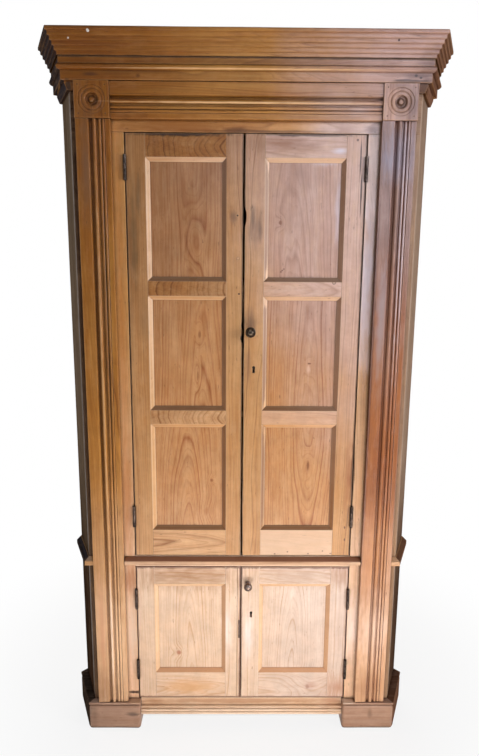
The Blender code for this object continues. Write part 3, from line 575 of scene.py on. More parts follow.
# Lines along which painted highlights, painted shadows and grime lie
DOOR_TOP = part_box("upper_left_door_frame")[1].z
SHADOW_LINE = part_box("cornice_crown")[0].z
BED_NOSE = SHADOW_LINE - 0.0300
BEAD_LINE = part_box("frieze_casing")[1].z - 0.0520
CROWN_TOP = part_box("cornice_crown")[1].z

LEFT_CASING, RIGHT_CASING = (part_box("pilaster_" + hand)[0].x for hand in ("left", "right"))

# Flat, cove, bead and reeds of a casing, in from its left-hand edge
FLAT_IN = 0.02
COVE_IN = 0.0385
BEAD_IN = 0.0495
REEDS_IN = (0.0645, 0.0742)
BETWEEN_REEDS = 0.069

# Waxed pine of the cornice and casings: deep honey, close straight rings
HONEY = pine("waxed honey pine", "#B27A36", "#6A3A10", 7, 0.75, 0.38, worn=0.55, pale="#D09A62", sheen=0.2,
             fades=[LOW_PALE, SHADED_TOP_LEFT, GLARE_CASING, SHADED_LEFT_RETURN, BROWN_RIGHT], marks=[
    # Painted highlights along the frieze bead and the bed's nose, lit from below
    (0, BEAD_LINE, 0.45, 0.003, 0.7, "#ECC08A", 0.85),
    (0, BED_NOSE, 0.52, 0.0026, 0.7, "#ECC08A", 0.75),
    # Painted shadow across the upper fascia, under the crown's lip
    (0, SHADOW_LINE - 0.01, 0.55, 0.011, 1.1, "#5E3208", 0.5),
    (0, CROWN_TOP, 5.0, 0.004, 0.8, "#46301E", 0.7),
    # Painted highlight down the left-hand casing's bead
    (LEFT_CASING + BEAD_IN, 1.05, 0.0034, 0.9, 0.7, "#D8A878", 0.6),
    # Painted shadow on the small moulding in the corner at the left
    (-0.4796, 1.97, 0.01, 0.016, 0.5, "#24140A", 0.85),
    (0.48, 1.965, 0.024, 0.036, 0.7, "#4A3020", 0.9),
    (0.505, 2.025, 0.085, 0.07, 1.1, "#5E4034", 0.65),
    (0.46, 1.998, 0.07, 0.014, 0.9, "#543A30", 0.6),
    # Painted shadow line between the bed and the right-hand block
    (0.43, 1.985, 0.06, 0.006, 0.6, "#38241A", 0.8),
    (0.455, 1.93, 0.032, 0.085, 1.0, "#5E463C", 0.65),
    (0.426, 1.925, 0.055, 0.07, 1.1, "#5E4234", 0.5),
    (-0.4, 2.055, 0.2, 0.05, 1.1, "#743C02", 0.5),
    (-0.34, 2.0, 0.17, 0.022, 1.1, "#623202", 0.5),
    (0.31, 1.912, 0.06, 0.026, 1.1, "#D2BAB2", 0.5),
    (LEFT_CASING + COVE_IN, 1.15, 0.005, 0.75, 0.7, "#4E2A0E", 0.6),
    (-0.45, 0.4, 0.08, 0.2, 1.1, "#EEC49E", 0.45),
    (-0.452, 0.135, 0.06, 0.12, 1.2, "#7E4E22", 0.6),
    (-0.392, 0.29, 0.034, 0.22, 0.9, "#F2CAA2", 0.6),
    # Painted shadow line where the crown meets the bed
    (0, SHADOW_LINE - 0.001, 5.0, 0.0036, 0.6, "#241004", 0.9),
    (-0.4115, 2.0894, 0.004, 0.0036, 0.25, "#F6F2EA", 1.0),
    (-0.4646, 2.074, 0.0028, 0.0026, 0.25, "#F2EADC", 1.0),
    (-0.418, 1.995, 0.03, 0.007, 0.9, "#4A2A10", 0.75),
    (-0.29, 1.993, 0.01, 0.008, 0.7, "#5A3312", 0.7),
    (-0.44, 1.76, 0.03, 0.25, 1.2, "#7C5A40", 0.75),
    (0.395, 2.0764, 0.004, 0.004, 0.4, "#2A1608", 0.9),
    (0.4527, 1.9985, 0.005, 0.004, 0.5, "#2A1608", 0.9),
    (0.4657, 1.9929, 0.005, 0.004, 0.5, "#2A1608", 0.9),
    (LEFT_CASING + BETWEEN_REEDS, 1.3, 0.013, 0.55, 0.8, "#5A3410", 0.55),
    # Painted highlight on the bead low on the left-hand casing
    (LEFT_CASING + BEAD_IN, 0.34, 0.004, 0.24, 0.6, "#FFE8D0", 0.65),
    (LEFT_CASING + FLAT_IN, 0.36, 0.015, 0.26, 1.0, "#CC8C68", 0.45),
    (0.245, 1.93, 0.12, 0.04, 1.1, "#CDAE9C", 0.45),
    (0.415, 1.972, 0.055, 0.02, 1.0, "#6A4A3E", 0.5)])

# The right-hand casing is brown at the top and pinker near the floor
BROWNED = Fade((0, 0, 1), 0.3, 1.3, 1.75, 0.9, "#8A6A5A", "#5A3A2C")
LOW_PINK = Fade(TO_FLOOR, 0.3, -0.62, 0.08, 0.9, "#D0A680", "#A06238")

# Waxed pine of the right-hand casing: browner, with red-brown wax and painted shade in its grooves
CASING = pine("waxed right-hand casing pine", "#98592A", "#60300E", 6, 0.75, 0.36, grime_and_shade=0.95,
              soil_and_shade="#4A1C08", worn=0.5, pale="#C4A494", fades=[LOW_PINK, BROWNED], marks=[
    # Painted grey glare on the flat
    (0.393, 1.34, 0.02, 0.23, 1.0, "#988684", 0.85),
    (0.42, 1.79, 0.07, 0.11, 1.0, "#8A818A", 0.8),
    (0.406, 0.62, 0.08, 0.23, 1.1, "#C4844E", 0.6),
    (0.418, 0.345, 0.11, 0.19, 1.2, "#EED0BC", 0.6),
    (0.41, 0.15, 0.06, 0.08, 1.0, "#9A6A4E", 0.45),
    (0.41, 1.24, 0.065, 0.3, 1.2, "#A4826E", 0.5),
    # Painted shadow along the casing's inner edge
    (RIGHT_CASING, 1.2, 0.007, 0.8, 0.6, "#4A1E0C", 0.75)] + [
    # Painted highlights down the reeds, a reflection of the window
    (RIGHT_CASING + reed, 1.55, 0.003, 0.5, 0.7, "#C8B6B6", 0.6) for reed in REEDS_IN])

# Waxed pine of the face frame: a lighter honey than the casings on it
FRONT = pine("waxed face pine", "#C0884A", "#804A1A", 6, 0.65, 0.38, grime_and_shade=0.7, sheen=0.24,
             fades=[LOW_PALE_FACE, GLARE_FACE, STRIP_LEFT, STRIP_RIGHT], marks=[
    (-0.352, 0.33, 0.022, 0.22, 1.1, "#D6C4B4", 0.6),
    (-0.348, 0.118, 0.034, 0.007, 0.6, "#38221A", 0.95),
    # Painted glare on the right-hand stile
    (0.347, 1.43, 0.05, 0.33, 1.0, "#DCCCCC", 0.85),
    (0.354, 0.345, 0.05, 0.17, 1.2, "#F2E2DC", 0.65),
    (0.357, 0.82, 0.03, 0.19, 1.1, "#E0A468", 0.5),
    (-0.36, 0.78, 0.05, 0.32, 1.1, "#AC6C2E", 0.7),
    (-0.354, 0.52, 0.05, 0.085, 0.9, "#A0683E", 0.75),
    # Painted shadow above the upper doors, under the top rail
    (0, DOOR_TOP + 0.006, 0.34, 0.006, 0.8, "#4A2A18", 0.6),
    (0.345, 1.865, 0.036, 0.024, 0.9, "#7A6464", 0.6),
    (0.3375, 0.87, 0.0044, 0.11, 0.6, "#3E2010", 0.8),
    # More painted shadow over the meeting of the upper doors
    (-0.03, DOOR_TOP + 0.008, 0.05, 0.012, 0.9, "#3A2214", 0.7),
    (-0.19, 1.87, 0.24, 0.034, 0.9, "#8A4C0C", 0.65),
    (0.27, 1.87, 0.11, 0.034, 0.9, "#A88474", 0.5)])

ENDLESS = 50.0                   # half length of a mark that runs the whole length of a piece


def edge_grime(tier, colour, strength):
    """Grime along the upright edges of a pair of doors, where they meet and at their hinges."""
    left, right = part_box(tier + "_left_door_frame"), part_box(tier + "_right_door_frame")
    edges = ((left[0].x, 0.0034), (left[1].x, 0.0052), (right[0].x, 0.0046), (right[1].x, 0.0040))
    return [(x, 0, wide, ENDLESS, 0.6, colour, strength) for x, wide in edges]


# Waxed pine of the upper doors' frames: paler, handled, stained where hands and old fittings were
DOOR = pine("waxed door pine", "#BE8C58", "#744820", 8, 0.75, 0.38, bloom=0.2,
            fades=[GLARE_TOP_RIGHT, DIM_DOOR], marks=[
    (0.03, 1.606, 0.034, 0.075, 1.2, "#66544E", 0.62),
    (0.02, 1.625, 0.01, 0.045, 0.9, "#463A34", 0.4),
    (0.042, 1.6, 0.008, 0.06, 0.9, "#463A34", 0.4),
    (-0.034, 1.632, 0.016, 0.026, 0.9, "#6A5040", 0.6),
    (0.017, 1.33, 0.024, 0.06, 1.0, "#6B5142", 0.6),
    (0.012, 1.2, 0.014, 0.09, 1.0, "#8A6448", 0.5),
    (-0.316, 1.56, 0.02, 0.24, 1.0, "#5E4628", 0.65),
    (-0.3, 1.7, 0.01, 0.1, 0.9, "#5E4A30", 0.5),
    (0.3088, 1.8396, 0.004, 0.004, 0.5, "#4A3428", 0.8),
    (0.319, 1.79, 0.0028, 0.06, 0.5, "#2E1A10", 0.85),
    (0.3235, 1.7, 0.0032, 0.07, 0.5, "#2E1A10", 0.85),
    (0.333, 0.87, 0.0085, 0.11, 0.6, "#3E2010", 0.85),
    (0.324, 0.86, 0.026, 0.19, 1.1, "#8E5228", 0.75),
    (0.3165, 0.697, 0.003, 0.006, 0.5, "#4A2A14", 0.8),
    (0.3175, 0.656, 0.003, 0.006, 0.5, "#4A2A14", 0.8),
    # Painted shadow along the top of the door, under the top rail
    (-0.18, DOOR_TOP, 0.195, 0.011, 0.6, "#200E06", 0.95),
    (0.048, 1.83, 0.04, 0.06, 1.1, "#8E6440", 0.5),
    (-0.29, 1.34, 0.034, 0.11, 1.1, "#8A6440", 0.5),
    # Painted shadow along the top of the right-hand door
    (0.18, DOOR_TOP, 0.195, 0.0085, 0.6, "#342016", 0.85)] + edge_grime("upper", "#3A2012", 0.8))

# Waxed pine of the upper right-hand door's rails: plainer and pinker, cream at the bottom, with nicks
PLAIN_RAIL = pine("waxed plain rail pine", "#CCA07C", "#A07250", 8, 0.45, 0.38, bloom=0.2,
                  fades=[GLARE_TOP_RIGHT], marks=[
    (0.17, 0.64, 0.3, 0.09, 0.4, "#D4B89C", 0.5),
    (0.2565, 1.4503, 0.0085, 0.0075, 0.3, "#6A4A38", 0.8),
    (0.2565, 1.4503, 0.005, 0.0045, 0.3, "#C8A68E", 0.85),
    # Painted glare at the top right of the rail
    (0.262, 1.811, 0.034, 0.012, 1.0, "#E4E0E8", 0.6),
    (0.115, 1.828, 0.13, 0.04, 1.1, "#8E5C3A", 0.7),
    (0.1, 0.608, 0.0036, 0.0024, 0.4, "#5A3A26", 0.8),
    (0.14, 0.615, 0.0028, 0.0024, 0.4, "#5A3A26", 0.8),
    (0.205, 0.609, 0.004, 0.0024, 0.4, "#5A3A26", 0.8),
    (0.25, 0.618, 0.0028, 0.0026, 0.4, "#5A3A26", 0.8),
    (0.275, 0.61, 0.005, 0.0024, 0.4, "#5A3A26", 0.8),
    # Painted shadow along the top of the door, under the top rail
    (0.18, DOOR_TOP, 0.195, 0.0085, 0.6, "#342016", 0.85)])

# Waxed pine of the upper left-hand door's rails: a redder, strongly figured board
RAIL = pine("waxed rail pine", "#C89A6C", "#8C5628", 9, 1.0, 0.38, sheen=0.22, fades=[DIM_RAIL], marks=[
    # Painted shadow along the top of the door, under the top rail
    (-0.18, DOOR_TOP, 0.195, 0.011, 0.6, "#200E06", 0.95)])

# Dust along the foot of each upper panel
SETTLED = []
for hand in ("left", "right"):
    for number in (1, 2, 3):
        low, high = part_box("upper_" + hand + "_door_panel_" + str(number))
        SETTLED.append(((low.x + high.x) / 2, low.z, 0.62 * (high.x - low.x), 0.016, 1.1, "#54382A", 0.7))

# Waxed pine of the door panels: orange-brown, flat-sawn, with flame figure and small knots
PANEL = pine("waxed panel pine", "#BE8A58", "#8E481C", 9, 0.85, 0.36, grime_and_shade=0.75,
             fades=[GLARE_PANEL, DIM_PANEL], marks=[
    (0.0994, 1.6172, 0.006, 0.009, 0.5, "#7A4A30", 0.8, 0.012),
    (-0.148, 1.608, 0.012, 0.036, 1.0, "#B07A4C", 0.3, 0.018),
    (-0.144, 1.53, 0.012, 0.03, 1.0, "#B07A4C", 0.3, 0.016),
    (0.1915, 1.195, 0.009, 0.016, 0.8, "#D6B096", 0.7, 0.006),
    (0.1935, 1.212, 0.007, 0.0035, 0.6, "#6E4230", 0.8),
    (0.1035, 1.4795, 0.0035, 0.0022, 0.4, "#6A4638", 0.8),
    (0.1075, 1.4836, 0.0035, 0.0022, 0.4, "#6A4638", 0.8),
    (0.1115, 1.4877, 0.0035, 0.0022, 0.4, "#6A4638", 0.8),
    # Painted glare at the top right of the panels
    (0.22, 1.785, 0.06, 0.02, 1.1, "#DCD4DA", 0.5),
    (0.262, 1.65, 0.012, 0.13, 1.1, "#DCD4DA", 0.4),
    (0.1975, 0.8955, 0.006, 0.02, 0.7, "#6E3D1E", 0.75, 0.014),
    (-0.0969, 0.847, 0.006, 0.007, 0.5, "#8A4F28", 0.8, 0.012),
    (-0.1129, 0.745, 0.014, 0.016, 0.9, "#A0602F", 0.5, 0.012),
    (-0.1316, 1.2965, 0.005, 0.014, 0.7, "#83502C", 0.7, 0.012),
    (-0.138, 1.1746, 0.004, 0.02, 0.7, "#83502C", 0.6, 0.012),
    (0.15, 1.75, 0.08, 0.06, 1.1, "#8E6A5A", 0.45)] + SETTLED)

# Left-hand chamfers of the upper right-hand door are as dull as its frame
DULL = []
for number in (1, 2, 3):
    low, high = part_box("upper_right_door_panel_" + str(number))
    DULL.append((low.x - 0.002, (low.z + high.z) / 2, 0.016, 0.56 * (high.z - low.z), 0.3, "#8C6850", 0.85))

# Waxed pine of the chamfers round the upper panels: redder, with painted shade on the lower and right-hand ones,
# and a deeper orange painted on the upper ones where the light from below falls
STICKING = pine("waxed chamfer pine", "#CC9E6C", "#94622E", 6, 0.4, 0.32, sheen=0.24, worn=0.3,
                pale="#E6C6A2", fades=[GLARE_EDGE], marks=DULL, light_and_shade_by_facing=[
    FacingLightAndShade((-1, 0, 0), 0.1, 0.45, 0.66, "#6A3004"),
    FacingLightAndShade(UP, 0.1, 0.45, 0.74, "#5A2E0C"),
    FacingLightAndShade((0, 0, -1), 0.1, 0.45, 0.3, "#C07C38")])

LOWER_FOOT, LOWER_TOP = (corner.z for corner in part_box("lower_left_door_frame"))

# Waxed pine of the lower tier: pale and pinkish, as painted light and glare from the floor, over some floor-level
# wear
PALE = pine("rubbed pale pine", "#DCC0A6", "#B27A40", 8, 0.72, 0.34, grime_and_shade=0.75, soil_and_shade="#84471C",
            pale="#EDD8C6", fades=[PINKER], marks=[
    (-0.2045, 0.2558, 0.01, 0.011, 0.6, "#A8664A", 0.75, 0.016),
    (-0.17, 0.138, 0.13, 0.035, 0.7, "#D29E6A", 0.6),
    (-0.174, 0.532, 0.3, 0.082, 1.2, "#94622E", 0.85),
    (0.18, 0.534, 0.26, 0.072, 1.2, "#A88468", 0.65),
    (0.316, 0.54, 0.07, 0.08, 1.2, "#96684A", 0.7),
    (0.316, 0.135, 0.09, 0.09, 1.3, "#AC7450", 0.7),
    (0.315, 0.36, 0.024, 0.18, 0.8, "#B89C8C", 0.35),
    (0.2259, 0.1432, 0.034, 0.024, 1.0, "#B08472", 0.55, 0.02),
    (0.215, 0.138, 0.008, 0.012, 0.7, "#8E5E4C", 0.5),
    (0.02, 0.33, 0.02, 0.15, 1.2, "#FAF4F6", 0.55),
    (-0.05, 0.34, 0.026, 0.14, 1.2, "#FAF4F6", 0.45),
    # Painted shadow along the top of the lower doors, under the waist moulding, and painted shade along their foot
    (0, LOWER_TOP, ENDLESS, 0.008, 0.7, "#5E3220", 0.85),
    (0, LOWER_FOOT, ENDLESS, 0.006, 0.7, "#7A4630", 0.75)] + edge_grime("lower", "#6A3824", 0.75))

BASE_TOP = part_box("face_base_rail")[1].z

# Waxed pine of the rails above and below the lower doors: bright along the reeds, rubbed wear with painted
# highlights
RUBBED = pine("rubbed rail pine", "#D8B898", "#A87448", 7, 0.5, 0.34, grime_and_shade=0.45, soil_and_shade="#7A3E16", worn=0.8,
              pale="#F6E2CC", marks=[
    (0, BASE_TOP - 0.012, 0.5, 0.012, 0.7, "#AC7C5A", 0.7),
    (0.3, BASE_TOP - 0.012, 0.07, 0.03, 1.2, "#A06C50", 0.6),
    (-0.3, BASE_TOP - 0.012, 0.07, 0.03, 1.2, "#9C683E", 0.5),
    # Painted highlight along the base rail's reeds
    (0, BASE_TOP - 0.04, 0.5, 0.014, 0.7, "#F4E0C8", 0.55)])

# Waxed pine of the chamfers round the lower panels: red-brown painted shade on the lower and right-hand ones, away
# from the light
PALE_STICKING = pine("waxed pale chamfer pine", "#E2BE9A", "#B0824E", 6, 0.4, 0.32, sheen=0.3,
                     soil_and_shade="#7A3E16", light_and_shade_by_facing=[FacingLightAndShade((-0.6, 0, 0.8), 0.1, 0.45, 0.65, "#AC7044")])

# Waxed pine of the moulding under the upper doors: rubbed pale in front; dark on top, painted shade with some
# dust, as the light comes from below
WAIST = pine("rubbed waist pine", "#C8A07E", "#94643C", 7, 0.6, 0.36, soil_and_shade="#4A2410", pale="#E6C8AA",
             light_and_shade_by_facing=[FacingLightAndShade(UP, 0.35, 0.75, 0.85, "#7C4628")])

# Waxed pine of the returns: never scrubbed, dark with smoke and old polish, and darker still as painted shade,
# most on the left
SMOKED_AND_SHADED = pine("smoke-darkened and shaded pine", "#7E6852", "#544232", 7, 0.5, 0.62, grime_and_shade=0.6, worn=0.1, sheen=0.0,
              bloom=0.05, fades=[LIT_RIGHT_RETURN, DARK_LOW])

FOOT_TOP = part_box("foot_left")[1].z

# Waxed pine of the feet: brown-grey with floor dirt, and painted shade on the left-hand returns
FOOT = pine("scuffed foot pine", "#A4826C", "#6C4C3A", 9, 0.35, 0.5, grime_and_shade=0.8, bloom=0.2, pale="#BE9E88",
            fades=[SHADED_FOOT, BROWN_RIGHT], marks=[
    (-0.348, FOOT_TOP, 0.026, 0.0044, 0.6, "#C8A688", 0.85),
    (-0.415, FOOT_TOP, 0.08, 0.0044, 0.6, "#C0A088", 0.6),
    (0.348, FOOT_TOP, 0.026, 0.0044, 0.6, "#DCC4AE", 0.85),
    (-0.478, 0.045, 0.02, 0.06, 1.2, "#5A4434", 0.5),
    (0, 0.0, ENDLESS, 0.014, 0.8, "#54402F", 0.6),
    (-0.355, 0.055, 0.03, 0.012, 0.9, "#4A3C36", 0.7),
    (0.42, 0.06, 0.012, 0.03, 0.9, "#6A5040", 0.5)])

# Sawn pine of the inside and the back: dry, open and unwaxed
SAWN = pine("sawn dry pine", "#B48A5C", "#7F5630", 8, 0.5, 0.72, grime_and_shade=0.7)

# Hinges and lock cases: black iron with a rubbed sheen
IRON = metal("rubbed black iron", "#2A2421", "#5A4E47", 0.45, 0.12)

# Upper knob and bolts: brass gone brown with age
BRASS = metal("browned brass", "#322B25", "#675A4C", 0.36, 0.10)

# Lower knob and strike: steel polished by hands
STEEL = metal("hand-polished steel", "#584A44", "#8E7C72", 0.22, 0.06)


# Carcass

def canted(side):
    """Along and outward directions of a return."""
    along = Vector((side * math.sin(CANT), math.cos(CANT), 0))
    return along, Vector((side * math.cos(CANT), -math.sin(CANT), 0))


def wrapped_moulding(node, material, edge):
    """A moulding that turns the corners, with grain along each of its mitred lengths."""
    bm = copy_of(node)
    soften(bm, edge)
    plane_unevenly(bm, RIGHT)
    middle = middle_of(bm)
    runs = {0: lie(middle, RIGHT, OUT)}
    for side in (-1, 1):
        runs[side] = lie(Vector((side * CORNER, FACE, middle.z)), *canted(side))

    def pick(centre):
        corner = CORNER + (FACE - centre.y) * MITRE
        if abs(centre.x) <= corner:
            return runs[0]
        return runs[1] if centre.x > 0 else runs[-1]
    stand_in(node, lay_grain(bm, pick), material)


for moulding, edge in (("cornice_crown", 0.0024), ("cornice_bed", 0.002), ("waist_moulding_left", 0.0012),
                       ("waist_moulding_right", 0.0012)):
    wrapped_moulding(moulding, HONEY, edge)

for node, finish, along, edge in (
        ("frieze_casing", HONEY, RIGHT, FINE_EDGE), ("pilaster_left", HONEY, UP, FINE_EDGE),
        ("pilaster_right", CASING, UP, FINE_EDGE), ("face_stile_left", FRONT, UP, SOFT_EDGE),
        ("face_stile_right", FRONT, UP, SOFT_EDGE), ("face_top_rail", FRONT, RIGHT, SOFT_EDGE),
        ("face_waist_rail", RUBBED, RIGHT, SOFT_EDGE), ("face_base_rail", RUBBED, RIGHT, FINE_EDGE),
        ("waist_moulding_front", WAIST, RIGHT, 0.003)):
    stand_in(node, board(copy_of(node), along, OUT, edge), finish)

for hand, side in (("left", -1), ("right", 1)):
    node = "side_panel_" + hand
    stand_in(node, board(copy_of(node), UP, canted(side)[1]), SMOKED_AND_SHADED)

# Shelves and other level boards, each glued up from narrower ones
LEVEL_BOARD_WIDTH = 0.17
JOINT_GAP = 0.0008


def glued_boards(node, split, along, out, width, finish):
    """A wide piece made of narrower boards, edge to edge."""
    whole = copy_of(node)
    reach = [vert.co.dot(split) for vert in whole.verts]
    low, high = min(reach), max(reach)
    count = max(1, round((high - low) / width))
    step = (high - low) / count
    boards = []
    for i in range(count):
        start = low + i * step + (JOINT_GAP / 2 if i else 0)
        end = low + (i + 1) * step - (JOINT_GAP / 2 if i < count - 1 else 0)
        boards.append(board(between(whole, split, start, end), along, out))
    whole.free()
    stand_in(node, gather(boards), finish)


for node in ("top_board", "deck_board", "bottom_board", "shelf_1", "shelf_2"):
    glued_boards(node, Vector((0, 1, 0)), RIGHT, UP, LEVEL_BOARD_WIDTH, SAWN)

BACK_BOARD_WIDTH = 0.125
for hand, side in (("left", -1), ("right", 1)):
    wall = Vector((side, -1, 0)).normalized()
    glued_boards("back_panel_" + hand, wall, UP, Vector((side, 1, 0)), BACK_BOARD_WIDTH, SAWN)

# Feet: a thick block worn round at the floor, under a thin cap
FOOT_CAP = 0.007
FOOT_QUIRK = 0.0016
FOOT_ROUND = 0.009
FOOT_UNEVEN = 0.0012
CAP_ROUND = 0.002
for hand in ("left", "right"):
    node = "foot_" + hand
    whole = copy_of(node)
    low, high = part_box(node)
    split = high.z - FOOT_CAP
    boards = [board(between(whole, UP, low.z, split - FOOT_QUIRK), RIGHT, OUT, FOOT_ROUND, FOOT_UNEVEN),
              board(between(whole, UP, split, high.z), RIGHT, OUT, CAP_ROUND)]
    whole.free()
    stand_in(node, gather(boards), FOOT)

PAST = 0.001                     # a cutter starts and ends this far past what it cuts


def bore(x, z, front, radius, deep, sides, foot=None):
    """Cutter for a nail or screw hole, narrower at its foot where that is given."""
    foot = foot or radius
    profile = [(0, front - PAST), (radius, front - PAST), (foot, front + deep), (0, front + deep)]
    return turned(profile, sides, x, z)


# Corner blocks with turned rosettes: two grooves as (radius, depth), a cove, a ring and a boss
ROSETTE_SIDES = 64
ROSETTE_GROOVES = [(0.0372, -0.002), (0.0372, 0.0002), (0.0362, 0.0014), (0.0350, 0.0004), (0.0290, 0.0006),
                   (0.0278, 0.0020), (0.0264, 0.0008)]
NAIL_INSET = 0.011
NAIL, NAIL_FOOT, NAIL_DEEP = 0.0021, 0.0016, 0.002
for hand in ("left", "right"):
    node = "corner_block_" + hand
    low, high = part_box(node)
    middle = (low + high) / 2
    block = slab(rectangle(low.x, high.x, low.z, high.z), low.y, high.y)
    soften(block, SOFT_EDGE)
    face = low.y
    sunk = [(0, face - 0.002)] + [(radius, face + deep) for radius, deep in ROSETTE_GROOVES]
    sunk += arc(0.0215, face + 0.0012, 0.0042, -0.0012, 0, 180, 8)
    sunk += arc(0.0122, face + 0.0016, 0.0047, 0.0055, 0, 180, 12)
    sunk += arc(0, face + 0.0034, 0.0072, -0.0032, 0, 90, 8)[:-1]
    sunk.append((0, face + 0.0002))
    block = carve(block, turned(sunk, ROSETTE_SIDES, middle.x, middle.z))
    for x in (low.x + NAIL_INSET, high.x - NAIL_INSET):
        for z in (low.z + NAIL_INSET, high.z - NAIL_INSET):
            block = carve(block, bore(x, z, face, NAIL, NAIL_DEEP, 10, NAIL_FOOT))
    spot = lie(middle, UP, OUT, aside=0.01, depth=0.03, tilt=0.05)
    stand_in(node, lay_grain(block, lambda centre: spot), HONEY)


# Doors

DOOR_EDGE = 0.0007               # rounding of a door's stiles and rails
TIGHT = 0.0002                   # gap at a rail's shoulder
LIP, LIP_SET = 0.0105, 0.0012    # strip planted on a meeting edge: its width, and how far it stands back


def meeting_outline(x0, x1, z0, z1, edge_x, wave, bites):
    """Outline of a stile whose meeting edge is worn: waves, and bites as (height, half length, depth)."""
    inward = 1 if edge_x == x0 else -1
    count = int((z1 - z0) / WORN_STEP)
    worn = []
    for i in range(count + 1):
        z = z0 + (z1 - z0) * i / count
        deep = wave * (0.5 + 0.5 * noise.noise(Vector((edge_x * 50, wave * 900, z * 11))))
        for height, half, most in bites:
            off = (z - height) / half
            if abs(off) < 1:
                deep = max(deep, most * math.sqrt(1 - off * off))
        worn.append((edge_x + inward * deep, z))
    if inward > 0:
        return [(x1, z0), (x1, z1)] + worn[::-1]
    return [(x0, z1), (x0, z0)] + worn


def strip(run, start, end, edge, inward, front, back, shoulder):
    """One mitred length of the sticking round a panel, chamfered in front or square behind it."""
    rings = []
    for end_place, lean in ((start, 1), (end, -1)):
        ring = []
        for y, inset in ((front, 0), (shoulder, CHAMFER), (back, CHAMFER), (back, 0)):
            along, level = end_place + lean * inset, edge + inward * inset
            ring.append((along, y, level) if run == "X" else (level, y, along))
        rings.append(ring)
    return loft(rings)


def sticking(x0, x1, z0, z1, front, panel_front, panel_back, back):
    """Chamfer in front of a panel and square lip behind it, on all four sides."""
    lengths = []
    for y0, y1, shoulder in ((front, panel_front, front + CHAMFER_DEPTH), (panel_back, back, panel_back)):
        for run, start, end, edge, inward in (("X", x0, x1, z0, 1), ("X", x0, x1, z1, -1),
                                              ("Z", z0, z1, x0, 1), ("Z", z0, z1, x1, -1)):
            body = strip(run, start, end, edge, inward, y0, y1, shoulder)
            bmesh.ops.remove_doubles(body, verts=body.verts, dist=WELD)
            along = RIGHT if run == "X" else UP
            lengths.append(board(body, along, OUT, STRIP_SOFT, 0))
    return lengths


def keyhole(x, z, front, back):
    """Cutter for a keyhole: a round eye over a slot."""
    eye, slot, foot = 0.0045, 0.0036, 0.0165
    lean = math.degrees(math.asin(slot / eye))
    outline = arc(x, z, eye, eye, lean - 90, 270 - lean, 12) + [(x - slot, z - foot), (x + slot, z - foot)]
    return slab(outline, front - PAST, back + PAST)


def door_frame(door, rows, finish, railing, edging, figured, wave=0.001, bites=(), holes=(), keyed=None,
               lipped=False):
    """Stiles and rails of one door, and the chamfered edging round its panels."""
    low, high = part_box(door + "_frame")
    panels = [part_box(door + "_panel_" + str(i)) for i in range(1, rows + 1)]
    x0, x1 = panels[0][0].x - TUCK, panels[0][1].x + TUCK
    left_hand = "left" in door
    meeting = high.x if left_hand else low.x
    boards = []
    for start, end in ((low.x, x0), (x1, high.x)):
        meets = meeting in (start, end)
        outline = rectangle(start, end, low.z, high.z)
        if meets:
            outline = meeting_outline(start, end, low.z, high.z, meeting, wave, bites)
        if meets and lipped:
            lip = end - LIP
            edging_strip = slab(rectangle(lip + JOINT_GAP, end, low.z, high.z), low.y + LIP_SET, high.y)
            boards.append(board(edging_strip, UP, OUT, DOOR_EDGE))
            outline = rectangle(start, lip, low.z, high.z)
        stile = slab(outline, low.y, high.y)
        if meets:
            for x, z, radius, deep in holes:
                stile = carve(stile, bore(x, z, low.y, radius, deep, 20))
            if keyed:
                stile = carve(stile, keyhole(*keyed, low.y, high.y))
        boards.append(board(stile, UP, OUT, DOOR_EDGE))
    rails = []
    levels = [low.z] + [z for panel in panels for z in (panel[0].z - TUCK, panel[1].z + TUCK)] + [high.z]
    for number, (z0, z1) in enumerate(zip(levels[::2], levels[1::2])):
        aside, depth, tilt = figured[number % len(figured)]
        rail = slab(rectangle(x0 + TIGHT, x1 - TIGHT, z0, z1), low.y, high.y)
        rails.append(board(rail, RIGHT, OUT, DOOR_EDGE, aside=aside, depth=depth, tilt=tilt))
    stand_in(door + "_frame", gather(boards), finish)
    place_piece(door + "_rails", gather(rails), railing, door, SLOT_OF[door + "_frame"])
    lengths = []
    for panel in panels:
        lengths += sticking(x0, x1, panel[0].z - TUCK, panel[1].z + TUCK, low.y,
                            panel[0].y - STRIP_REST, panel[1].y + STRIP_REST, high.y)
    place_piece(door + "_sticking", gather(lengths), edging, door, SLOT_OF[door + "_frame"])


# Pith beside, behind and tilt of each panel, from the bottom up
PANEL_FIGURE = {
    "upper_left_door": ((-0.005, 0.035, 0.12), (0.045, 0.05, 0.05), (0.015, 0.03, -0.05)),
    "upper_right_door": ((0.028, 0.03, -0.10), (0.03, 0.03, 0.06), (-0.03, 0.07, 0.05)),
    "lower_left_door": ((0.0, 0.016, 0.07),),
    "lower_right_door": ((0.0, 0.02, 0.10),),
}
RAIL_FIGURE = {
    "upper_left_door": ((0.0, 0.05, 0.05), (0.002, 0.08, -0.40), (0.004, 0.08, -0.40), (0.003, 0.09, -0.45)),
    "upper_right_door": ((0.02, 0.06, 0.06), (0.03, 0.08, 0.02), (0.0, 0.03, 0.10), (0.05, 0.10, 0.03)),
    "lower_left_door": ((0.02, 0.06, 0.05), (0.04, 0.08, 0.03)),
    "lower_right_door": ((0.02, 0.05, 0.05), (0.03, 0.06, 0.04)),
}

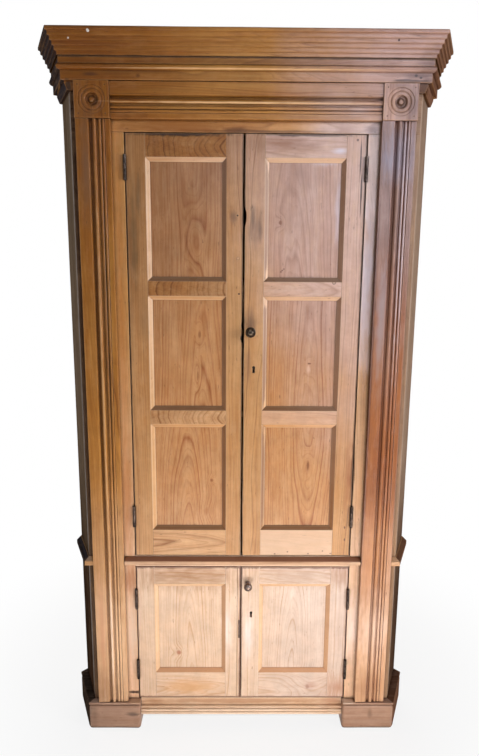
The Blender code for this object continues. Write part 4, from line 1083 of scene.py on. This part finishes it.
# What hands and old fittings left on the doors' meeting stiles; holes are (x, z, radius, depth)
PLUG_AT = (-0.0205, 1.5165)
DOOR_WEAR = {
    "upper_left_door": {"wave": 0.0016, "bites": [(1.3244, 0.010, 0.0045), (1.2869, 0.012, 0.006)],
                        "holes": [(-0.0226, 1.6354, 0.0026, 0.006), (*PLUG_AT, 0.0048, 0.0012),
                                  (-0.0170, 1.4160, 0.0026, 0.006)]},
    "upper_right_door": {"wave": 0.0032, "bites": [(1.632, 0.026, 0.0065)]},
    "lower_left_door": {"lipped": True},
    "lower_right_door": {},
}
KEYHOLE_OFFSET = 0.0075          # keyhole right of the middle of its lock
SPINDLE_HOLE, SPINDLE_REACH = 0.0046, 0.03
for door, figures in PANEL_FIGURE.items():
    upper = door.startswith("upper")
    for number, (aside, depth, tilt) in enumerate(figures, 1):
        node = door + "_panel_" + str(number)
        panel = board(copy_of(node), UP, OUT, aside=aside, depth=depth, tilt=tilt)
        stand_in(node, panel, PANEL if upper else PALE)
    tier = "upper" if upper else "lower"
    lock_low, lock_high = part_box(tier + "_lock_case")
    knob = JOINT_AT[tier + "_catch_turn"]
    options = DOOR_WEAR[door]
    if "right" in door:
        options["keyed"] = ((lock_low.x + lock_high.x) / 2 + KEYHOLE_OFFSET, (lock_low.z + lock_high.z) / 2)
        options["holes"] = [(knob.x, knob.z, SPINDLE_HOLE, SPINDLE_REACH)]
    finishes = (PALE, PALE, PALE_STICKING)
    if upper:
        finishes = (DOOR, RAIL if "left" in door else PLAIN_RAIL, STICKING)
    door_frame(door, len(figures), *finishes, RAIL_FIGURE[door], **options)

# Wooden plug in an old screw hole, as (radius, depth)
PLUG = [(0, 0.0004), (0.0036, 0.0004), (0.0038, 0.0008), (0.0038, 0.006), (0, 0.006)]
plug_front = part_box("upper_left_door_frame")[0].y
plug = turned([(radius, plug_front + deep) for radius, deep in PLUG], 20, *PLUG_AT)
spot = lie(Vector((PLUG_AT[0], plug_front, PLUG_AT[1])), RIGHT, OUT)
place_piece("upper_left_door_plug", lay_grain(plug, lambda centre: spot), DOOR, "upper_left_door", "pine")


# Ironwork

for door in PANEL_FIGURE:
    for hinge in ("low", "high"):
        for leaf in ("frame", "door"):
            node = door + "_" + hinge + "_hinge_" + leaf + "_leaf"
            bm = copy_of(node)
            soften(bm, IRON_EDGE)
            stand_in(node, bm, IRON)

for tier in ("upper", "lower"):
    for part, finish in (("_lock_case", IRON), ("_lock_bolt", BRASS)):
        bm = copy_of(tier + part)
        soften(bm, SOFT_EDGE / 2)
        stand_in(tier + part, bm, finish)

# Knobs on a spindle, each with a tongue behind the door
KNOB_SIDES = 48
ROSE_REST = 0.0003               # rose clear of the door
TONGUE_HALF = 0.0045
TONGUE_REST, TONGUE_END = 0.0025, 0.003      # tongue behind the door, and in from the spindle's end
for tier, finish in (("upper", BRASS), ("lower", STEEL)):
    node = tier + "_knob_catch"
    low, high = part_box(node)
    pivot = JOINT_AT[tier + "_catch_turn"]
    face = FACE - ROSE_REST
    # Spindle, rose and neck
    profile = [(0, high.y), (0.0036, high.y), (0.004, high.y - 0.0006), (0.004, face), (0.0088, face)]
    profile += arc(0.0078, face - 0.002, 0.0012, 0.001, 0, -90, 4)
    profile += arc(0.0078, face - 0.0075, 0.0022, 0.0045, 90, 180, 6)[1:]
    if tier == "upper":
        # A flared cap with a rolled rim and a low dome
        profile += [(0.0062, face - 0.0120), (0.0100, face - 0.0165), (0.0140, face - 0.0190)]
        profile += arc(0.0132, face - 0.0212, 0.0020, 0.0022, 90, -90, 8)[2:]
        profile += [(0.0122, face - 0.0222)]
        profile += arc(0, face - 0.0226, 0.0116, low.y - face + 0.0226, 0, 90, 9)[:-1]
    else:
        # A ball
        ball = (face - 0.011 - low.y) / 2
        profile += [(r, y) for y, r in arc(low.y + ball, 0, ball, 0.013, 24, 180, 18)][:-1]
    profile.append((0, low.y))
    body = turned(profile, KNOB_SIDES, pivot.x, pivot.z)
    outline = arc(pivot.x, pivot.z, TONGUE_HALF, TONGUE_HALF, 0, 180, 10)
    outline += arc(pivot.x, low.z + TONGUE_HALF, TONGUE_HALF, TONGUE_HALF, 180, 360, 10)
    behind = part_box("upper_left_door_frame")[1].y + TONGUE_REST
    tongue = slab(outline, behind, high.y - TONGUE_END)
    soften(tongue, IRON_EDGE)
    for part in (body, tongue):
        lay_grain(part, lambda centre: lambda point: point)
    stand_in(node, gather([body, tongue]), finish)

# Strike for the lower lock, let into the lip of the left-hand door
STRIKE_FOOT, STRIKE_TOP = 0.315, 0.379
door_low, door_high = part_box("lower_left_door_frame")
outline = rectangle(door_high.x - 0.006, door_high.x - 0.0008, STRIKE_FOOT, STRIKE_TOP)
strike = slab(outline, door_low.y + 0.0002, door_low.y + 0.0022)
soften(strike, IRON_EDGE)
place_piece("lower_left_door_strike", strike, STEEL, "lower_left_door", "iron")


# Floor, light and camera

def lamp(name, place, aim, wide, high, watts, shade, spread=180):
    """A soft rectangular lamp; a smaller spread keeps its light to what it is aimed at."""
    light = bpy.data.lights.new(name, "AREA")
    light.shape = "RECTANGLE"
    light.size, light.size_y = wide, high
    light.energy = watts
    light.color = linear(shade)[:3]
    light.spread = math.radians(spread)
    item = put(name, light)
    item.location = place
    item.rotation_euler = (Vector(aim) - Vector(place)).to_track_quat("-Z", "Y").to_euler()
    item.visible_camera = False


lamp("sunlit floor", (0.10, -1.05, 0.03), (0.0, -0.3, 0.8), 1.4, 0.8, 19, "#FFF4EA")
lamp("right-hand floor", (0.90, -1.35, 0.03), (0.0, -0.3, 1.2), 1.2, 0.9, 8.5, "#FFF4EA")
lamp("right window", (2.1, -1.55, 1.6), (-0.1, -0.3, 1.35), 0.9, 1.5, 11.5, "#F2F4FF", 90)
lamp("high window", (1.20, -3.5, 2.35), (0.45, -0.3, 1.70), 1.3, 1.8, 4, "#DCE6FF", 40)
lamp("left room", (-2.4, 0.25, 1.9), (-0.5, 0.0, 1.2), 1.0, 1.0, 10, "#DDE4F0", 110)
lamp("ceiling", (0.0, 0.30, 3.6), (0.0, 0.30, 2.0), 1.2, 1.0, 11, "#F4F2EE", 100)
lamp("far wall", (0.0, 3.2, 1.9), (0.0, 0.3, 1.1), 2.4, 1.6, 26, "#F4F2EE")

FLOOR_HALF = 12.0
FLOOR_UNDER, FLOOR_TOP = -0.02, -0.0002
CLEAR_FROM, CLEAR_TO = 0.5, 1.3      # distance over which the floor fades into the white background
NEAR_CLEAR = 0.86                    # how far it has faded close to the cabinet
LIT_FROM = (0.45, -0.35, -0.45)      # the brighter side of the room
WORLD_DIM, WORLD_BRIGHT = 0.02, 0.06


def seen_rays(add):
    """1 for the rays by which the background is seen: straight, mirrored or through something clear."""
    ray = add("LightPath", {})
    seen = add("Math", {0: ray["Is Camera Ray"], 1: ray["Is Glossy Ray"]}, "MAXIMUM")[0]
    return add("Math", {0: seen, 1: ray["Is Transmission Ray"]}, "MAXIMUM")[0]


def studio():
    """Pale floor that fades to white, and a white world whose light is a little stronger from one side."""
    material, shader, add = start_material("pale painted floor")
    feed(shader, {"Base Color": linear("#F4F2EE"), "Roughness": 0.6})
    place = add("TexCoord", {})["Object"]
    away = add("VectorMath", {0: place}, "LENGTH")["Value"]
    clear = add("MapRange", {0: away, 1: CLEAR_FROM, 2: CLEAR_TO}, **SMOOTH)[0]
    clear = add("MapRange", {0: clear, 3: NEAR_CLEAR, 4: 1.0})[0]
    amount = add("Math", {0: seen_rays(add), 1: clear}, "MULTIPLY")[0]
    glow = add("Emission", {"Color": (1, 1, 1, 1), "Strength": 1.0})[0]
    mixed = add("MixShader", {0: amount, 1: shader.outputs[0], 2: glow})[0]
    feed(material.node_tree.nodes["Material Output"], {"Surface": mixed})
    corners = rectangle(-FLOOR_HALF, FLOOR_HALF, -FLOOR_HALF, FLOOR_HALF)
    bm = loft([[(x, y, z) for x, y in corners] for z in (FLOOR_UNDER, FLOOR_TOP)])
    mesh = mesh_of("floor", bm)
    mesh.materials.append(material)
    floor = put("floor", mesh)

    world = bpy.data.worlds.new("studio")
    bpy.context.scene.world = world
    world.use_nodes = True
    add = partial(add_node, world.node_tree)
    direction = add("TexCoord", {})["Generated"]
    lean = add("VectorMath", {0: direction, 1: LIT_FROM}, "DOT_PRODUCT")["Value"]
    level = add("MapRange", {0: lean, 1: -0.6, 2: 0.6, 3: WORLD_DIM, 4: WORLD_BRIGHT})[0]
    strength = add("Mix", {0: seen_rays(add), 2: level, 3: 1.0})[0]
    feed(world.node_tree.nodes["Background"], {"Color": (1, 1, 1, 1), "Strength": strength})


studio()

# Camera as the photograph was taken: about 1.75 m off the face, at eye height, tipped down
CAMERA_PLACE = Vector((-0.030, FACE - 1.745, 1.499))
CAMERA_YAW = math.radians(0.53)
CAMERA_PITCH = math.radians(10.70)
CAMERA_ROLL = math.radians(0.39)
FOCAL_PIXELS = 599.3
LONG_SIDE = 756


def take_view():
    """Set up the camera from its turn, tip and roll."""
    level = Vector((math.sin(CAMERA_YAW), math.cos(CAMERA_YAW), 0))
    side = Vector((math.cos(CAMERA_YAW), -math.sin(CAMERA_YAW), 0))
    ahead = level * math.cos(CAMERA_PITCH) - UP * math.sin(CAMERA_PITCH)
    top = UP * math.cos(CAMERA_PITCH) + level * math.sin(CAMERA_PITCH)
    right = side * math.cos(CAMERA_ROLL) + top * math.sin(CAMERA_ROLL)
    above = top * math.cos(CAMERA_ROLL) - side * math.sin(CAMERA_ROLL)
    data = bpy.data.cameras.new("camera")
    data.sensor_width = 36.0
    data.lens = FOCAL_PIXELS / LONG_SIDE * data.sensor_width
    data.clip_start, data.clip_end = 0.05, 60
    camera = put("camera", data)
    turn = Matrix((right, above, -ahead)).transposed().to_4x4()
    camera.matrix_world = Matrix.Translation(CAMERA_PLACE) @ turn
    bpy.context.scene.camera = camera


take_view()
bpy.context.scene.view_settings.view_transform = "Standard"

bpy.context.view_layer.update()
